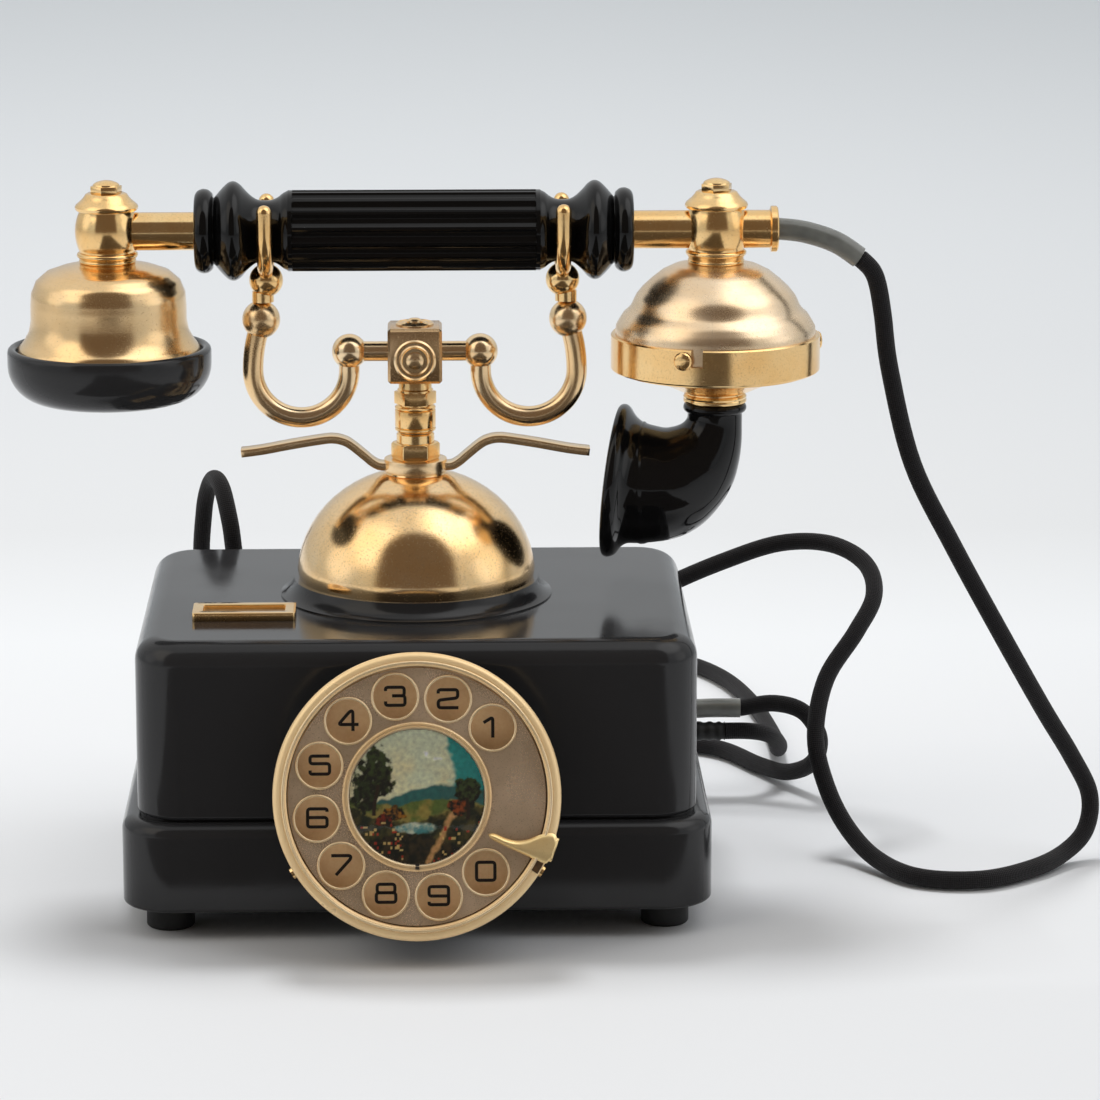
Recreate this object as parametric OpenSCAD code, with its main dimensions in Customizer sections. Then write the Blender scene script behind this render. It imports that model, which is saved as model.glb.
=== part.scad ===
// French-style cradle telephone: a low two-tier housing, a dial on its front,
// and a sprung cradle on a column that carries a spit-cup handset.
// Sizes are in millimetres, +Z is up, and -Y is the side that the dial faces.

/* [Plinth] */
// Width of the plinth from side to side
plinth_w = 171; // [168:1:174]
// Depth of the plinth from front to back
plinth_d = 138; // [136:1:140]
// Height of the plinth's wall
plinth_h = 26; // [25:1:27]
// Height of the rubber feet under the plinth
foot_h = 8.5; // [8:0.5:9]

/* [Housing] */
// Width of the upper housing
housing_w = 162; // [160:1:164]
// Depth of the upper housing
housing_d = 131; // [130:1:132]
// Height of the upper housing above the seam
housing_h = 52; // [51:1:53]
// Radius of the rounding along the housing's top edge
edge_r = 7; // [5:1:8]
// Radius of the housing's upright corners
corner_r = 13; // [11:1:14]
// Thickness of the moulded walls
wall = 3; // [2.5:0.5:3.5]

/* [Dome and column] */
// Radius of the bell-shaped dome at its rim
dome_r = 35.5; // [34:0.5:36]
// Height of the dome above its collar
dome_h = 32; // [31:0.5:33]
// Width of the square block that carries the arms
block_w = 16; // [15:0.5:17]
// How far the cradle rises when the handset is lifted
cradle_travel = 5; // [3:0.5:5]

/* [Dial] */
// Radius of the ring round the dial
bezel_r = 40.8; // [40:0.2:41.4]
// Backward lean of the dial in degrees
dial_tilt = 13.5; // [12:0.5:15]
// Radius of the circle that the finger holes lie on
hole_pitch_r = 28.9; // [28.5:0.1:29.2]
// Radius of each finger hole
hole_r = 6.3; // [6:0.1:6.5]

/* [Handset] */
// Height of the handset's long axis above the table
handset_z = 196; // [196:0.5:197]
// Radius of the brass tube through the handset
tube_r = 5.6; // [5:0.2:6]
// Radius of the fluted middle of the grip
grip_r = 11.8; // [11:0.2:12.4]
// Radius of the black ear cup
ear_cup_r = 30; // [29:0.5:31]
// Radius of the bayonet ring round the transmitter
bayonet_r = 30.9; // [30:0.3:31.5]

/* [Cords] */
// Diameter of the braided cords
cord_d = 5.4; // [5:0.2:5.6]
// Turns in the stored coil of the line cord, side by side and one over another
coil_rows = 3; // [3:1:4]

/* [Hidden] */

black = [0.09, 0.09, 0.10];
gold = [0.85, 0.66, 0.34];
steel = [0.62, 0.64, 0.66];

// Heights of the tiers
plinth_z = foot_h;
shoulder_z = plinth_z + plinth_h;
housing_z = shoulder_z + 0.5;
top_z = housing_z + housing_h;
plate_t = 2;
floor_z = plinth_z + plate_t;
screw_x = 72;
screw_y = 52;

// Column, from the collar up
collar_h = 5;
collar_r = dome_r + 4.9;
dome_z = top_z + collar_h;
hub_z = dome_z + dome_h;
hub_t = 3.8;
hub_r = 9.3;
nut_z = hub_z + hub_t;
nut_h = 4.9;
nut_r = 7.25;
neck_z = nut_z + nut_h;
neck_h = 3;
neck_r = 5.6;
guide_r = 5;
stem_r = 3.4;
fit_gap = 0.05;
seam_gap = 0.3;
barrel_z = neck_z + neck_h + seam_gap;
barrel_h = 8;
barrel_r = 6.05;
block_h = 16.4;
block_z = 151.5;
block_top = block_z + block_h;
guide_bottom = top_z - 18;
spring_z = 30;
spring_top = 56;
contact_z = 53;

// Cradle arms
arm_z = 160;
arm_bar_r = 2.95;
inner_ball_x = 19.3;
inner_ball_r = 5.2;
bend_x = 33.6;
bend_z = 154.4;
bend_r = 14.2;
leg_r = 42;
leg_angle = 21;
arm_tube_r = 3.05;
outer_ball_x = 45.2;
outer_ball_z = 169.7;
outer_ball_r = 5.6;
fork_x = 43.6;
prong_r = 2.3;
grip_neck_r = 9;
prong_y = grip_neck_r + prong_r + 0.7;
fork_top = 205.3;

// Dial
dial_y = -90;
dial_z = 48.7;
wheel_r = bezel_r - 4.4;
wheel_t = 1.2;
wheel_back = -2.7;
wheel_front = wheel_back + wheel_t;
plate_front = -7;
number_plate_t = 0.8;
cup_r = bezel_r - 0.8;
cup_wall = 3;
frame_front = -11;
frame_t = 1.5;
shaft_r = 2;
holes = 10;
hole_step = 30;
first_hole = 42;
medallion_r = 19.2;
gear_teeth = 40;
pinion_teeth = 8;
gear_module = 1;
gear_gap = gear_module * (gear_teeth + pinion_teeth) / 2;
gear_back = frame_front - frame_t - 3;

// Ringer
gong_y = 38;
gong_x = [-54, -12];
gong_r = 17;
clapper_x = -33;
clapper_y = 16;
clapper_z = 37;

// Handset
ear_x = -90;
mic_x = 88.8;
ball_r = 9.4;
grip_end = 64;
tube_end = 106.9;
sleeve_end = [130.3, 0, 187.9];
sleeve_r = 3.25;
horn_top = 144.2;
horn_r0 = 8.1;
horn_wall = 1.6;
horn_turn = 9;
cap_z = handset_z + 6.4;
cap_h = 5;

// Cords: points of each route, from the handset's sleeve to the housing, from the boot to the coil, and on to the plug
cord_r = cord_d / 2;
floor_cord_z = 2.8;
handset_route = [
    [131.3, 0, 187.2], [134.8, 0, 183.7], [136.7, 0.4, 179.1], [138.4, 1, 170], [140.9, 2, 153],
    [148, 1, 125], [160.5, -1, 100], [177, 1, 70], [190, 7, 47], [199, 11, 32], [205, 12, 19.5],
    [203.5, 8, 9.5], [196, 1, 4], [184.5, -12, 3], [168, -23, 3], [150, -20, 3],
    [139, -5, 4], [131, 8, 10], [125, 16, 21], [122, 24, 35], [126, 36, 50], [136, 46, 62.5],
    [142.5, 57, 71.5], [141, 71, 78.5], [131, 84, 82], [115.5, 92, 80.5], [97, 94, 74], [78, 93, 66],
    [52, 90, 54], [20, 88, 38], [-12, 86, 30], [-37, 82, 41], [-51, 78, 60], [-56.5, 75.5, 78],
    [-58.5, 76.5, 91.5], [-61.5, 85, 101.5], [-65, 97, 101], [-68, 105, 89], [-68.5, 106, 66], [-60, 106, 38],
    [-44, 110, 14.5], [-18, 117, 3.8], [34, 128, 3], [76, 136, 3], [98, 130, 3],
    [111, 108, 3], [119, 92, 5], [126, 80, 11.5], [127.5, 75, 21], [122.5, 76.5, 29],
    [113.5, 82, 30.5], [103, 86, 28]
];
sleeve_route = [[64, 69, 27.2], [70, 78, 27.2], [80, 84, 27.6], [92, 86, 28], [103, 86, 28]];
boot_route = [[56, 69, 19], [62, 77, 19.4], [73, 83, 20], [86, 85, 20.6], [98, 85, 20.7]];
line_route = [
    [98, 85, 20.7], [106, 86.5, 20.2], [113, 93, 17.2], [117, 106, 10.6], [118, 124, 4.4],
    [118, 150, 2.8], [114, 190, 2.8], [106, 225, 2.8], [92, 248, 2.8], [68, 256, 2.8],
    [50, 243, 2.8], [44.5, 222, 2.8], [44, 192, 2.8]
];
tail_route = [
    [-6.4, 175.6, 13.8], [-13, 182.2, 17.2], [-21, 190.2, 19.4], [-30, 199.2, 17.6], [-38, 207.2, 11.5],
    [-46, 215.2, 5.2], [-54, 223.2, 3.6], [-60, 229.2, 4]
];
coil_centre = [10, 192];
coil_mid_r = cord_d * 5.3;
coil_in_r = coil_mid_r - coil_rows * cord_r;
coil_out_r = coil_mid_r + coil_rows * cord_r;
coil_h = coil_rows * cord_d;
plug_at = [-66, 235.2, 0];

// Shift that puts the origin under the middle of the telephone without its cords
shift_x = -(mic_x + bayonet_r + 1.2 + ear_x - ear_cup_r) / 2;
shift_y = -(dial_y - bezel_r * sin(dial_tilt) + plinth_d / 2) / 2;

// ---- helpers ----
module placed() { translate([shift_x, shift_y, 0]) children(); }

// Frame of the dial: local Z points out of the dial, local Y up its face
module at_dial() { placed() translate([0, dial_y, dial_z]) rotate([90 - dial_tilt, 0, 0]) children(); }

// Frame of the handset: local Z runs along the handset towards the transmitter
module along_handset() { placed() translate([0, 0, handset_z]) rotate([0, 90, 0]) children(); }

module mirrored_x() { children(); mirror([1, 0, 0]) children(); }

module at_corners(x, y) { for (sx = [-1, 1], sy = [-1, 1]) translate([sx * x, sy * y, 0]) children(); }

module rounded_rect(w, d, r) {
    square([w - 2 * r, d], center = true);
    square([w, d - 2 * r], center = true);
    for (sx = [-1, 1], sy = [-1, 1]) translate([sx * (w / 2 - r), sy * (d / 2 - r)]) circle(r = r, $fn = 40);
}

module slab(w, d, r, h) { linear_extrude(h) rounded_rect(w, d, r); }

// Post with a rounded top edge, the corner of a moulded tier
module tier_post(r, h, round_r) {
    rotate_extrude($fn = 32) {
        square([r, h - round_r]);
        square([r - round_r, h]);
        translate([r - round_r, h - round_r]) intersection() {
            circle(r = round_r, $fn = 32);
            square(round_r);
        }
    }
}

module tier(w, d, h, r, round_r) { hull() at_corners(w / 2 - r, d / 2 - r) tier_post(r, h, round_r); }

module ring(r_out, r_in, h) {
    difference() {
        cylinder(r = r_out, h = h, $fn = 96);
        translate([0, 0, -1]) cylinder(r = r_in, h = h + 2, $fn = 96);
    }
}

module turned(outline) { rotate_extrude($fn = 96) polygon(outline); }

function arc_points(c, r, a0, a1, n) = [for (i = [0:n]) let (a = a0 + (a1 - a0) * i / n) c + r * [cos(a), sin(a)]];

// Sweeps: directions along a path, a side vector carried along it, and the rings round it
function unit(v) = v / norm(v);
function path_dirs(p) = [
    for (i = [0:len(p) - 1]) unit(p[min(i + 1, len(p) - 1)] - p[max(i - 1, 0)])
];
function carried(u, d) = unit(u - (u * d) * d);
function sides(dirs, u, i = 0) =
    i >= len(dirs) ? [] : let (n = carried(u, dirs[i])) concat([n], sides(dirs, n, i + 1));
function spline(a, b, c, d, t) =
    0.5 * (2 * b + (c - a) * t + (2 * a - 5 * b + 4 * c - d) * t * t + (3 * b - a - 3 * c + d) * t * t * t);
function smooth(p, n) = concat(
    [for (i = [0:len(p) - 2], k = [0:n - 1])
        spline(p[max(i - 1, 0)], p[i], p[i + 1], p[min(i + 2, len(p) - 1)], k / n)],
    [p[len(p) - 1]]
);
function ring_at(p, u, v, r, n) = [for (j = [0:n - 1]) p + r * (cos(360 * j / n) * u + sin(360 * j / n) * v)];

// Two triangles for each side of each stretch between rings, of loops that may close on themselves
function skin(stretches, n, loops) = [
    for (i = [0:stretches - 1], j = [0:n - 1])
        let (low = i * n, high = ((i + 1) % loops) * n, next = (j + 1) % n)
        each [[low + j, high + j, high + next], [low + j, high + next, low + next]]
];

module swept(path, r, n) {
    dirs = path_dirs(path);
    us = sides(dirs, abs(dirs[0].z) < 0.9 ? [0, 0, 1] : [1, 0, 0]);
    last = len(path) - 1;
    points = [for (i = [0:last]) each ring_at(path[i], us[i], cross(dirs[i], us[i]), r, n)];
    start_cap = [for (j = [0:n - 1]) j];
    end_cap = [for (j = [n - 1:-1:0]) last * n + j];
    polyhedron(points, concat(skin(last, n, last + 1), [start_cap, end_cap]), convexity = 6);
}

// ---- housing ----
module base_plinth() {
    color(black) placed() difference() {
        union() {
            translate([0, 0, plinth_z]) tier(plinth_w, plinth_d, plinth_h, 15, 4);
            translate([0, 0, shoulder_z - 1]) slab(housing_w - 2, housing_d - 2, corner_r - 1, 1.5);
            translate([0, 0, housing_z - 0.5])
                slab(housing_w - 2 * wall - 0.4, housing_d - 2 * wall - 0.4, corner_r - wall - 0.2, 3.5);
        }
        translate([0, 0, plinth_z - 1]) slab(plinth_w - 2 * wall, plinth_d - 2 * wall, 12, plinth_h - wall + 1);
        translate([0, 0, plinth_z]) slab(housing_w - 14, housing_d - 14, 8, plinth_h + 10);
    }
}

module base_plate() {
    color("dimgray") placed() difference() {
        union() {
            translate([0, 0, plinth_z]) slab(plinth_w - 2 * wall, plinth_d - 2 * wall, 12, plate_t);
            at_corners(screw_x, screw_y) translate([0, 0, floor_z]) cylinder(r = 4.5, h = 8, $fn = 48);
            for (x = [22, 62], y = [-18, 38]) translate([x, y, floor_z]) cylinder(r = 2.5, h = 8, $fn = 48);
        }
        at_corners(screw_x, screw_y) translate([0, 0, plinth_z - 1]) cylinder(r = 2, h = 8, $fn = 32);
    }
}

module base_feet() {
    color([0.12, 0.12, 0.12]) placed() at_corners(screw_x, screw_y) difference() {
        turned(concat([[0, 0]], arc_points([6, 1], 1, -90, 0, 6), [[7, foot_h], [0, foot_h]]));
        translate([0, 0, 2.5]) cylinder(r = 2, h = foot_h, $fn = 32);
        translate([0, 0, -1]) cylinder(r = 3.6, h = 3.5, $fn = 32);
    }
}

module case_screws() {
    color(steel) placed() at_corners(screw_x, screw_y) difference() {
        union() {
            translate([0, 0, 0.8]) cylinder(r = 3.6, h = 1.7, $fn = 32);
            translate([0, 0, 2.5]) cylinder(r = 2, h = 12, $fn = 32);
        }
        translate([-4, -0.4, 0.7]) cube([8, 0.8, 0.9]);
    }
}

module upper_housing() {
    color(black) placed() difference() {
        translate([0, 0, housing_z]) tier(housing_w, housing_d, housing_h, corner_r, edge_r);
        translate([0, 0, housing_z - 1])
            tier(housing_w - 2 * wall, housing_d - 2 * wall, housing_h - wall + 1, corner_r - wall, edge_r - wall);
        translate([0, 0, top_z - wall - 1]) cylinder(r = guide_r, h = wall + 2, $fn = 48);
        translate([0, -housing_d / 2 + wall / 2, 60]) rotate([90, 0, 0]) cylinder(r = 12, h = wall + 2, center = true, $fn = 64);
    }
}

module dome_collar() {
    color(black) placed() translate([0, 0, top_z]) turned(concat(
        [[guide_r, 0], [collar_r, 0], [collar_r, 0.4], [collar_r - 1.4, 1], [collar_r - 2.5, 2]],
        [[collar_r - 3.4, 3.3], [collar_r - 4, collar_h]],
        [[dome_r - 2.5, collar_h], [dome_r - 2.5, collar_h - 2], [guide_r, collar_h - 2]]
    ));
}

function dome_curve(r, h, a0, a1) = [for (i = [0:12]) let (a = a0 + (a1 - a0) * i / 12) [r * cos(a), h * sin(a)]];

module dome_bell() {
    top_a = 75;
    color(gold) placed() translate([0, 0, dome_z]) turned(concat(
        [[dome_r - 2.4, 0], [dome_r - 0.6, 0]],
        dome_curve(dome_r, dome_h + 0.6, 5, top_a),
        [[hub_r - 0.3, dome_h], [guide_r, dome_h], [guide_r, dome_h - 1.4]],
        dome_curve(dome_r - 1.4, dome_h - 1.4, top_a, 5)
    ));
}

module rest_arms() {
    bar = 2.2;
    half_w = 3;
    middle = smooth([
        [hub_r - 0.8, hub_z + 1.7], [hub_r + 1.5, hub_z + 1.8], [13, hub_z + 3], [15.1, hub_z + 4.8],
        [19.4, hub_z + 8.3], [22, hub_z + 9.5], [24.6, hub_z + 9.9], [28, hub_z + 9.6], [36.7, hub_z + 8.2],
        [45.3, hub_z + 6.6], [51.6, hub_z + 5.8]
    ], 3);
    ways = path_dirs(middle);
    last = len(middle) - 1;
    top_side = [for (i = [0:last]) middle[i] + bar / 2 * [-ways[i].y, ways[i].x]];
    low_side = [for (i = [last:-1:0]) middle[i] - bar / 2 * [-ways[i].y, ways[i].x]];
    color(gold) placed() {
        difference() {
            translate([0, 0, hub_z]) cylinder(r = hub_r, h = hub_t, $fn = 64);
            translate([0, 0, hub_z - 1]) cylinder(r = guide_r, h = hub_t + 2, $fn = 48);
        }
        mirrored_x() translate([0, half_w, 0]) rotate([90, 0, 0]) linear_extrude(2 * half_w)
            polygon(concat(low_side, top_side));
    }
}

module hex_nut(z, r, h) {
    translate([0, 0, z]) difference() {
        intersection() {
            cylinder(r = r, h = h, $fn = 6);
            turned([[0, 0], [r - 0.6, 0], [r, 0.5], [r, h - 0.5], [r - 0.6, h], [0, h]]);
        }
        translate([0, 0, -1]) cylinder(r = guide_r, h = h + 2, $fn = 48);
    }
}

module column_nuts() {
    color(gold) placed() {
        hex_nut(nut_z, nut_r, nut_h);
        hex_nut(top_z - wall - 4, nut_r + 1.5, 4);
    }
}

module column_guide() {
    color(gold) placed() turned([
        [stem_r + fit_gap, guide_bottom], [guide_r, guide_bottom], [guide_r, neck_z], [neck_r, neck_z],
        [neck_r, neck_z + neck_h - 0.5], [neck_r - 0.5, neck_z + neck_h], [stem_r + fit_gap, neck_z + neck_h]
    ]);
}

// ---- card holder on the housing's top ----
card_x = -50.2;
card_y = -29.5;
card_w = 30;
card_d = 14;
card_h = 2.4;

module card_frame() {
    color(gold) placed() translate([card_x, card_y, top_z]) difference() {
        slab(card_w, card_d, 1, card_h);
        translate([0, 0, -1]) slab(card_w - 6, card_d - 6, 0.6, card_h + 2);
    }
}

module card_strip() {
    color([0.8, 0.68, 0.42]) placed() translate([card_x, card_y, top_z]) slab(card_w - 6, card_d - 6, 0.6, 1);
}

// ---- dial ----
module dial_cup() {
    front_cut = [plinth_w, plinth_d, 200];
    color(black) difference() {
        at_dial() difference() {
            turned([[0, -44], [cup_r - 4, -44], [cup_r, -10], [cup_r, -5], [0, -5]]);
            translate([0, 0, -45]) cylinder(r1 = cup_r - 4 - cup_wall, r2 = cup_r - cup_wall, h = 35, $fn = 96);
            translate([0, 0, -10.1]) cylinder(r = cup_r - cup_wall, h = 10, $fn = 96);
            for (s = [-1, 1]) rotate([0, 0, 270 + s * 58.5]) translate([cup_r - 4, 0, -8])
                rotate([0, 90, 0]) cylinder(r = 1.4, h = 6, $fn = 32);
        }
        placed() translate([-plinth_w / 2, -housing_d / 2, -20]) cube(front_cut);
        placed() translate([-plinth_w / 2, -plinth_d / 2, -20]) cube([plinth_w, plinth_d, 20 + housing_z]);
    }
}

module dial_bezel() {
    r_in = bezel_r - 3.9;
    color([0.93, 0.82, 0.58]) at_dial() turned(concat(
        [[r_in, -5], [bezel_r, -5]],
        arc_points([bezel_r - 1.8, -1.8], 1.8, 0, 90, 8),
        [[r_in + 1.3, 0], [r_in + 0.7, -0.2], [r_in + 0.4, -0.7], [r_in, -0.9]]
    ));
}

module dial_screws() {
    color(gold) at_dial() for (s = [-1, 1]) rotate([0, 0, 270 + s * 58.5]) translate([0, 0, -8]) rotate([0, 90, 0]) {
        translate([0, 0, cup_r - cup_wall]) cylinder(r = 1.4, h = cup_wall, $fn = 32);
        difference() {
            translate([0, 0, cup_r]) cylinder(r1 = 2, r2 = 1.7, h = 1.8, $fn = 48);
            translate([-0.3, -3, cup_r + 1.2]) cube([0.6, 6, 1]);
        }
    }
}

module number_plate() {
    color([0.72, 0.56, 0.34]) at_dial() translate([0, 0, plate_front - number_plate_t])
        ring(cup_r - cup_wall - 0.2, shaft_r + 1, number_plate_t);
}

module finger_stop() {
    color(gold) at_dial() {
        linear_extrude(1.2) polygon(smooth([
            [20.3, -10.3], [21.8, -10.5], [24.4, -11.6], [27.8, -12.5], [31.2, -12.2], [34.6, -10.9], [37.2, -10.4],
            [39.8, -11.2], [40.6, -12.6], [40, -14.8], [38.9, -17.4], [37.6, -19.8], [36.4, -19.8], [33.5, -18],
            [30, -16.5], [25.6, -14.5], [21.5, -12.3], [20, -11.2], [20.3, -10.3]
        ], 3));
        rotate([0, 0, -24]) translate([bezel_r, -3.2, -4]) cube([1, 7.4, 5.2]);
    }
}

module dial_frame() {
    post_z = plate_front - number_plate_t - frame_front;
    color(steel) at_dial() difference() {
        union() {
            translate([0, 0, frame_front - frame_t]) cylinder(r = cup_r - cup_wall - 0.4, h = frame_t, $fn = 96);
            translate([0, 0, frame_front - 0.5]) cylinder(r = 4, h = 2.9, $fn = 48);
            for (a = [30, 150, 270]) rotate([0, 0, a]) translate([32, 0, frame_front - 0.5])
                cylinder(r = 2, h = post_z + 0.5, $fn = 32);
        }
        translate([0, 0, frame_front - frame_t - 1]) cylinder(r = shaft_r + fit_gap, h = 10, $fn = 48);
        translate([0, -gear_gap, frame_front - frame_t - 1]) cylinder(r = 1 + fit_gap, h = 4, $fn = 48);
    }
}

// Gear outline: straight-flanked teeth, thinned for backlash
function gear_outline(teeth, turn) = [
    for (i = [0:teeth - 1], k = [0:3])
        let (
            pitch = 360 / teeth,
            r = gear_module * teeth / 2,
            low = k == 0 || k == 3,
            a = pitch * i + turn + pitch * [-0.27, -0.09, 0.09, 0.27][k]
        )
        (r + (low ? -1.25 : 0.8) * gear_module) * [cos(a), sin(a)]
];

module dial_gear() {
    color("goldenrod") at_dial() {
        translate([0, 0, gear_back]) linear_extrude(1.6) polygon(gear_outline(gear_teeth, -90));
        translate([0, 0, gear_back - 2]) cylinder(r = shaft_r, h = wheel_back - gear_back + 2, $fn = 48);
    }
}

module governor_pinion() {
    color(steel) at_dial() translate([0, -gear_gap, 0]) {
        translate([0, 0, gear_back - 0.3]) linear_extrude(2.2) polygon(gear_outline(pinion_teeth, 90 + 180 / pinion_teeth));
        translate([0, 0, gear_back - 5]) cylinder(r = 1, h = frame_front - gear_back + 5, $fn = 48);
        translate([0, 0, gear_back - 4]) cylinder(r = 7, h = 1.5, $fn = 64);
    }
}

module finger_wheel() {
    color([0.80, 0.65, 0.42]) at_dial() difference() {
        union() {
            translate([0, 0, wheel_back]) cylinder(r = wheel_r, h = wheel_t, $fn = 128);
            for (i = [0:holes - 1]) rotate([0, 0, first_hole + hole_step * i])
                translate([hole_pitch_r, 0, wheel_back]) cylinder(r = hole_r + 0.6, h = wheel_t + 0.3, $fn = 48);
        }
        for (i = [0:holes - 1]) rotate([0, 0, first_hole + hole_step * i])
            translate([hole_pitch_r, 0, wheel_back - 1]) cylinder(r = hole_r, h = wheel_t + 3, $fn = 48);
    }
}

module medallion_ring() {
    color(gold) at_dial() translate([0, 0, wheel_front]) turned([
        [medallion_r, 0], [medallion_r + 1.9, 0], [medallion_r + 1.9, 0.6], [medallion_r + 1.5, 1],
        [medallion_r + 1.1, 0.6], [medallion_r + 0.8, 0.6], [medallion_r + 0.4, 1.2], [medallion_r, 0.8]
    ]);
}

module medallion_disc() {
    color([0.35, 0.52, 0.50]) at_dial() translate([0, 0, wheel_front]) cylinder(r = medallion_r, h = 0.5, $fn = 96);
}

module medallion_lens() {
    rise = 2.2;
    ball = (medallion_r * medallion_r + rise * rise) / (2 * rise);
    edge = asin(medallion_r / ball);
    color([0.8, 0.9, 0.95, 0.35]) at_dial() translate([0, 0, wheel_front + 0.5])
        turned(concat([[0, 0]], arc_points([0, rise + 0.2 - ball], ball, 90 - edge, 90, 8)));
}

// ---- ringer and circuit ----
module ringer_frame() {
    color(steel) placed() {
        difference() {
            translate([-64, 4, floor_z]) cube([54.8, 44, 1.6]);
            for (x = [-41, -25]) translate([x, 12, floor_z - 1]) cylinder(r = 2, h = 4, $fn = 32);
        }
        for (x = gong_x) translate([x, gong_y, floor_z + 1.6]) cylinder(r = 2.5, h = 26, $fn = 48);
        translate([clapper_x, clapper_y, floor_z + 1.6]) cylinder(r = 1.5, h = clapper_z - floor_z + 2, $fn = 32);
    }
}

module ringer_gongs() {
    z = floor_z + 27.6;
    outline = concat(
        arc_points([0, 0], gong_r, 0, 60, 6), [[2.5, 11.5], [2.5, 10.3]], arc_points([0, 0], gong_r - 1.2, 52, 0, 6)
    );
    color("goldenrod") placed() for (x = gong_x) translate([x, gong_y, z - 10.3]) turned([for (p = outline) [p.x, min(p.y, 11.5)]]);
}

module ringer_coils() {
    color([0.45, 0.22, 0.12]) placed() for (x = [-41, -25]) translate([x, 12, floor_z + 1.6]) {
        ring(7, 2, 22);
        cylinder(r = 2, h = 24, $fn = 32);
    }
}

module clapper() {
    color(steel) placed() translate([clapper_x, clapper_y, clapper_z]) {
        ring(3, 1.5 + fit_gap, 2.4);
        translate([-0.7, 2.4, 0.5]) cube([1.4, 16.6, 1.4]);
        translate([-0.7, 17.6, -6]) cube([1.4, 1.4, 7]);
        translate([0, 19.5, -6]) sphere(r = 2.2, $fn = 32);
        translate([-9, -3.2, 0.5]) cube([18, 1.4, 1.4]);
    }
}

board_z = floor_z + 8;

module circuit_board() {
    color([0.10, 0.35, 0.18]) placed() translate([17, -25, board_z]) cube([50, 68, 1.6]);
}

module board_parts() {
    z = board_z + 1.6;
    color([0.2, 0.25, 0.55]) placed() {
        translate([24, 22, z]) cube([18, 16, 14]);
        translate([48, 28, z]) cylinder(r = 5, h = 16, $fn = 48);
        translate([60, 28, z]) cylinder(r = 4, h = 12, $fn = 48);
        difference() {
            translate([26, -20, z]) cube([34, 12, 9]);
            for (i = [0:3]) translate([31 + 8 * i, -14, z + 3]) cylinder(r = 1.8, h = 8, $fn = 24);
        }
    }
}

module hook_switch() {
    color([0.55, 0.30, 0.15]) placed() difference() {
        union() {
            translate([-9, -9, floor_z]) cube([18, 18, spring_z - floor_z]);
            translate([-9, -20, floor_z]) cube([18, 8, contact_z - floor_z]);
            translate([-9, -12.5, floor_z]) cube([18, 4, 6]);
        }
        translate([0, 0, spring_z - 12]) cylinder(r = 4, h = 14, $fn = 48);
    }
}

module contact_springs() {
    color("goldenrod") placed() {
        for (z = [contact_z, contact_z + 2.2]) translate([-4, -19, z]) cube([8, 12.7, 0.4]);
        translate([-5, -19.4, contact_z + 0.2]) cube([10, 6, 2.2]);
    }
}

module return_spring() {
    turns = 6;
    wire = 0.6;
    coil = 5.3;
    steps = turns * 12;
    rise = spring_top - spring_z - 2 * wire;
    color(steel) placed() swept([for (i = [0:steps])
        [coil * cos(30 * i), coil * sin(30 * i), spring_z + wire + rise * i / steps]], wire, 6);
}

// ---- cradle ----
module plunger() {
    color(steel) placed() turned([
        [0, 48], [2.2, 48], [2.2, spring_top], [8, spring_top], [8, spring_top + 2],
        [stem_r, spring_top + 2], [stem_r, block_z], [0, block_z]
    ]);
}

module barrel() {
    hex_z = barrel_z + barrel_h + 0.4;
    color(gold) placed() {
        turned([
            [stem_r, barrel_z], [barrel_r - 0.6, barrel_z], [barrel_r, barrel_z + 0.6], [barrel_r, barrel_z + 1],
            [barrel_r - 0.5, barrel_z + 1.3], [barrel_r, barrel_z + 1.6], [barrel_r, barrel_z + 6.4],
            [barrel_r - 0.5, barrel_z + 6.7], [barrel_r, barrel_z + 7], [barrel_r, barrel_z + 7.4],
            [barrel_r - 0.6, barrel_z + barrel_h], [barrel_r - 0.6, hex_z], [stem_r, hex_z]
        ]);
        difference() {
            translate([0, 0, hex_z]) cylinder(r = 6.2, h = 3.6, $fn = 6);
            translate([0, 0, hex_z - 1]) cylinder(r = stem_r, h = 6, $fn = 48);
        }
        turned([
            [stem_r, hex_z + 3.6], [5.3, hex_z + 3.6], [5.3, hex_z + 4.2], [4.9, hex_z + 4.6],
            [4.9, block_z], [stem_r, block_z]
        ]);
    }
}

module cradle_block() {
    bevel = 0.8;
    half = block_w / 2;
    color(gold) placed() difference() {
        hull() {
            translate([0, 0, block_z + block_h / 2]) cube([block_w, block_w - 2 * bevel, block_h - 2 * bevel], center = true);
            translate([0, 0, block_z + block_h / 2]) cube([block_w - 2 * bevel, block_w, block_h - 2 * bevel], center = true);
            translate([0, 0, block_z + block_h / 2]) cube([block_w - 2 * bevel, block_w - 2 * bevel, block_h], center = true);
        }
        translate([-half - 1, 0, arm_z]) rotate([0, 90, 0]) cylinder(r = 2, h = 6, $fn = 48);
        translate([half - 5, 0, arm_z]) rotate([0, 90, 0]) cylinder(r = 2, h = 6, $fn = 48);
    }
}

module rosette(r) {
    turned([
        [0, 0], [r, 0], [r, 0.5], [r - 0.5, 0.9], [r - 1, 0.5], [r - 1.5, 0.5], [r - 2, 1], [r - 2.6, 0.6],
        [r * 0.42, 0.6], [r * 0.40, 1.4], [r * 0.25, 1.9], [0, 2.1]
    ]);
}

module block_rosettes() {
    color(gold) placed() {
        translate([0, 0, block_top]) rosette(5.6);
        translate([0, -block_w / 2, arm_z - 1.4]) rotate([90, 0, 0]) rosette(6.2);
        translate([0, block_w / 2, arm_z - 1.4]) rotate([-90, 0, 0]) rosette(6.2);
    }
}

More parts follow.
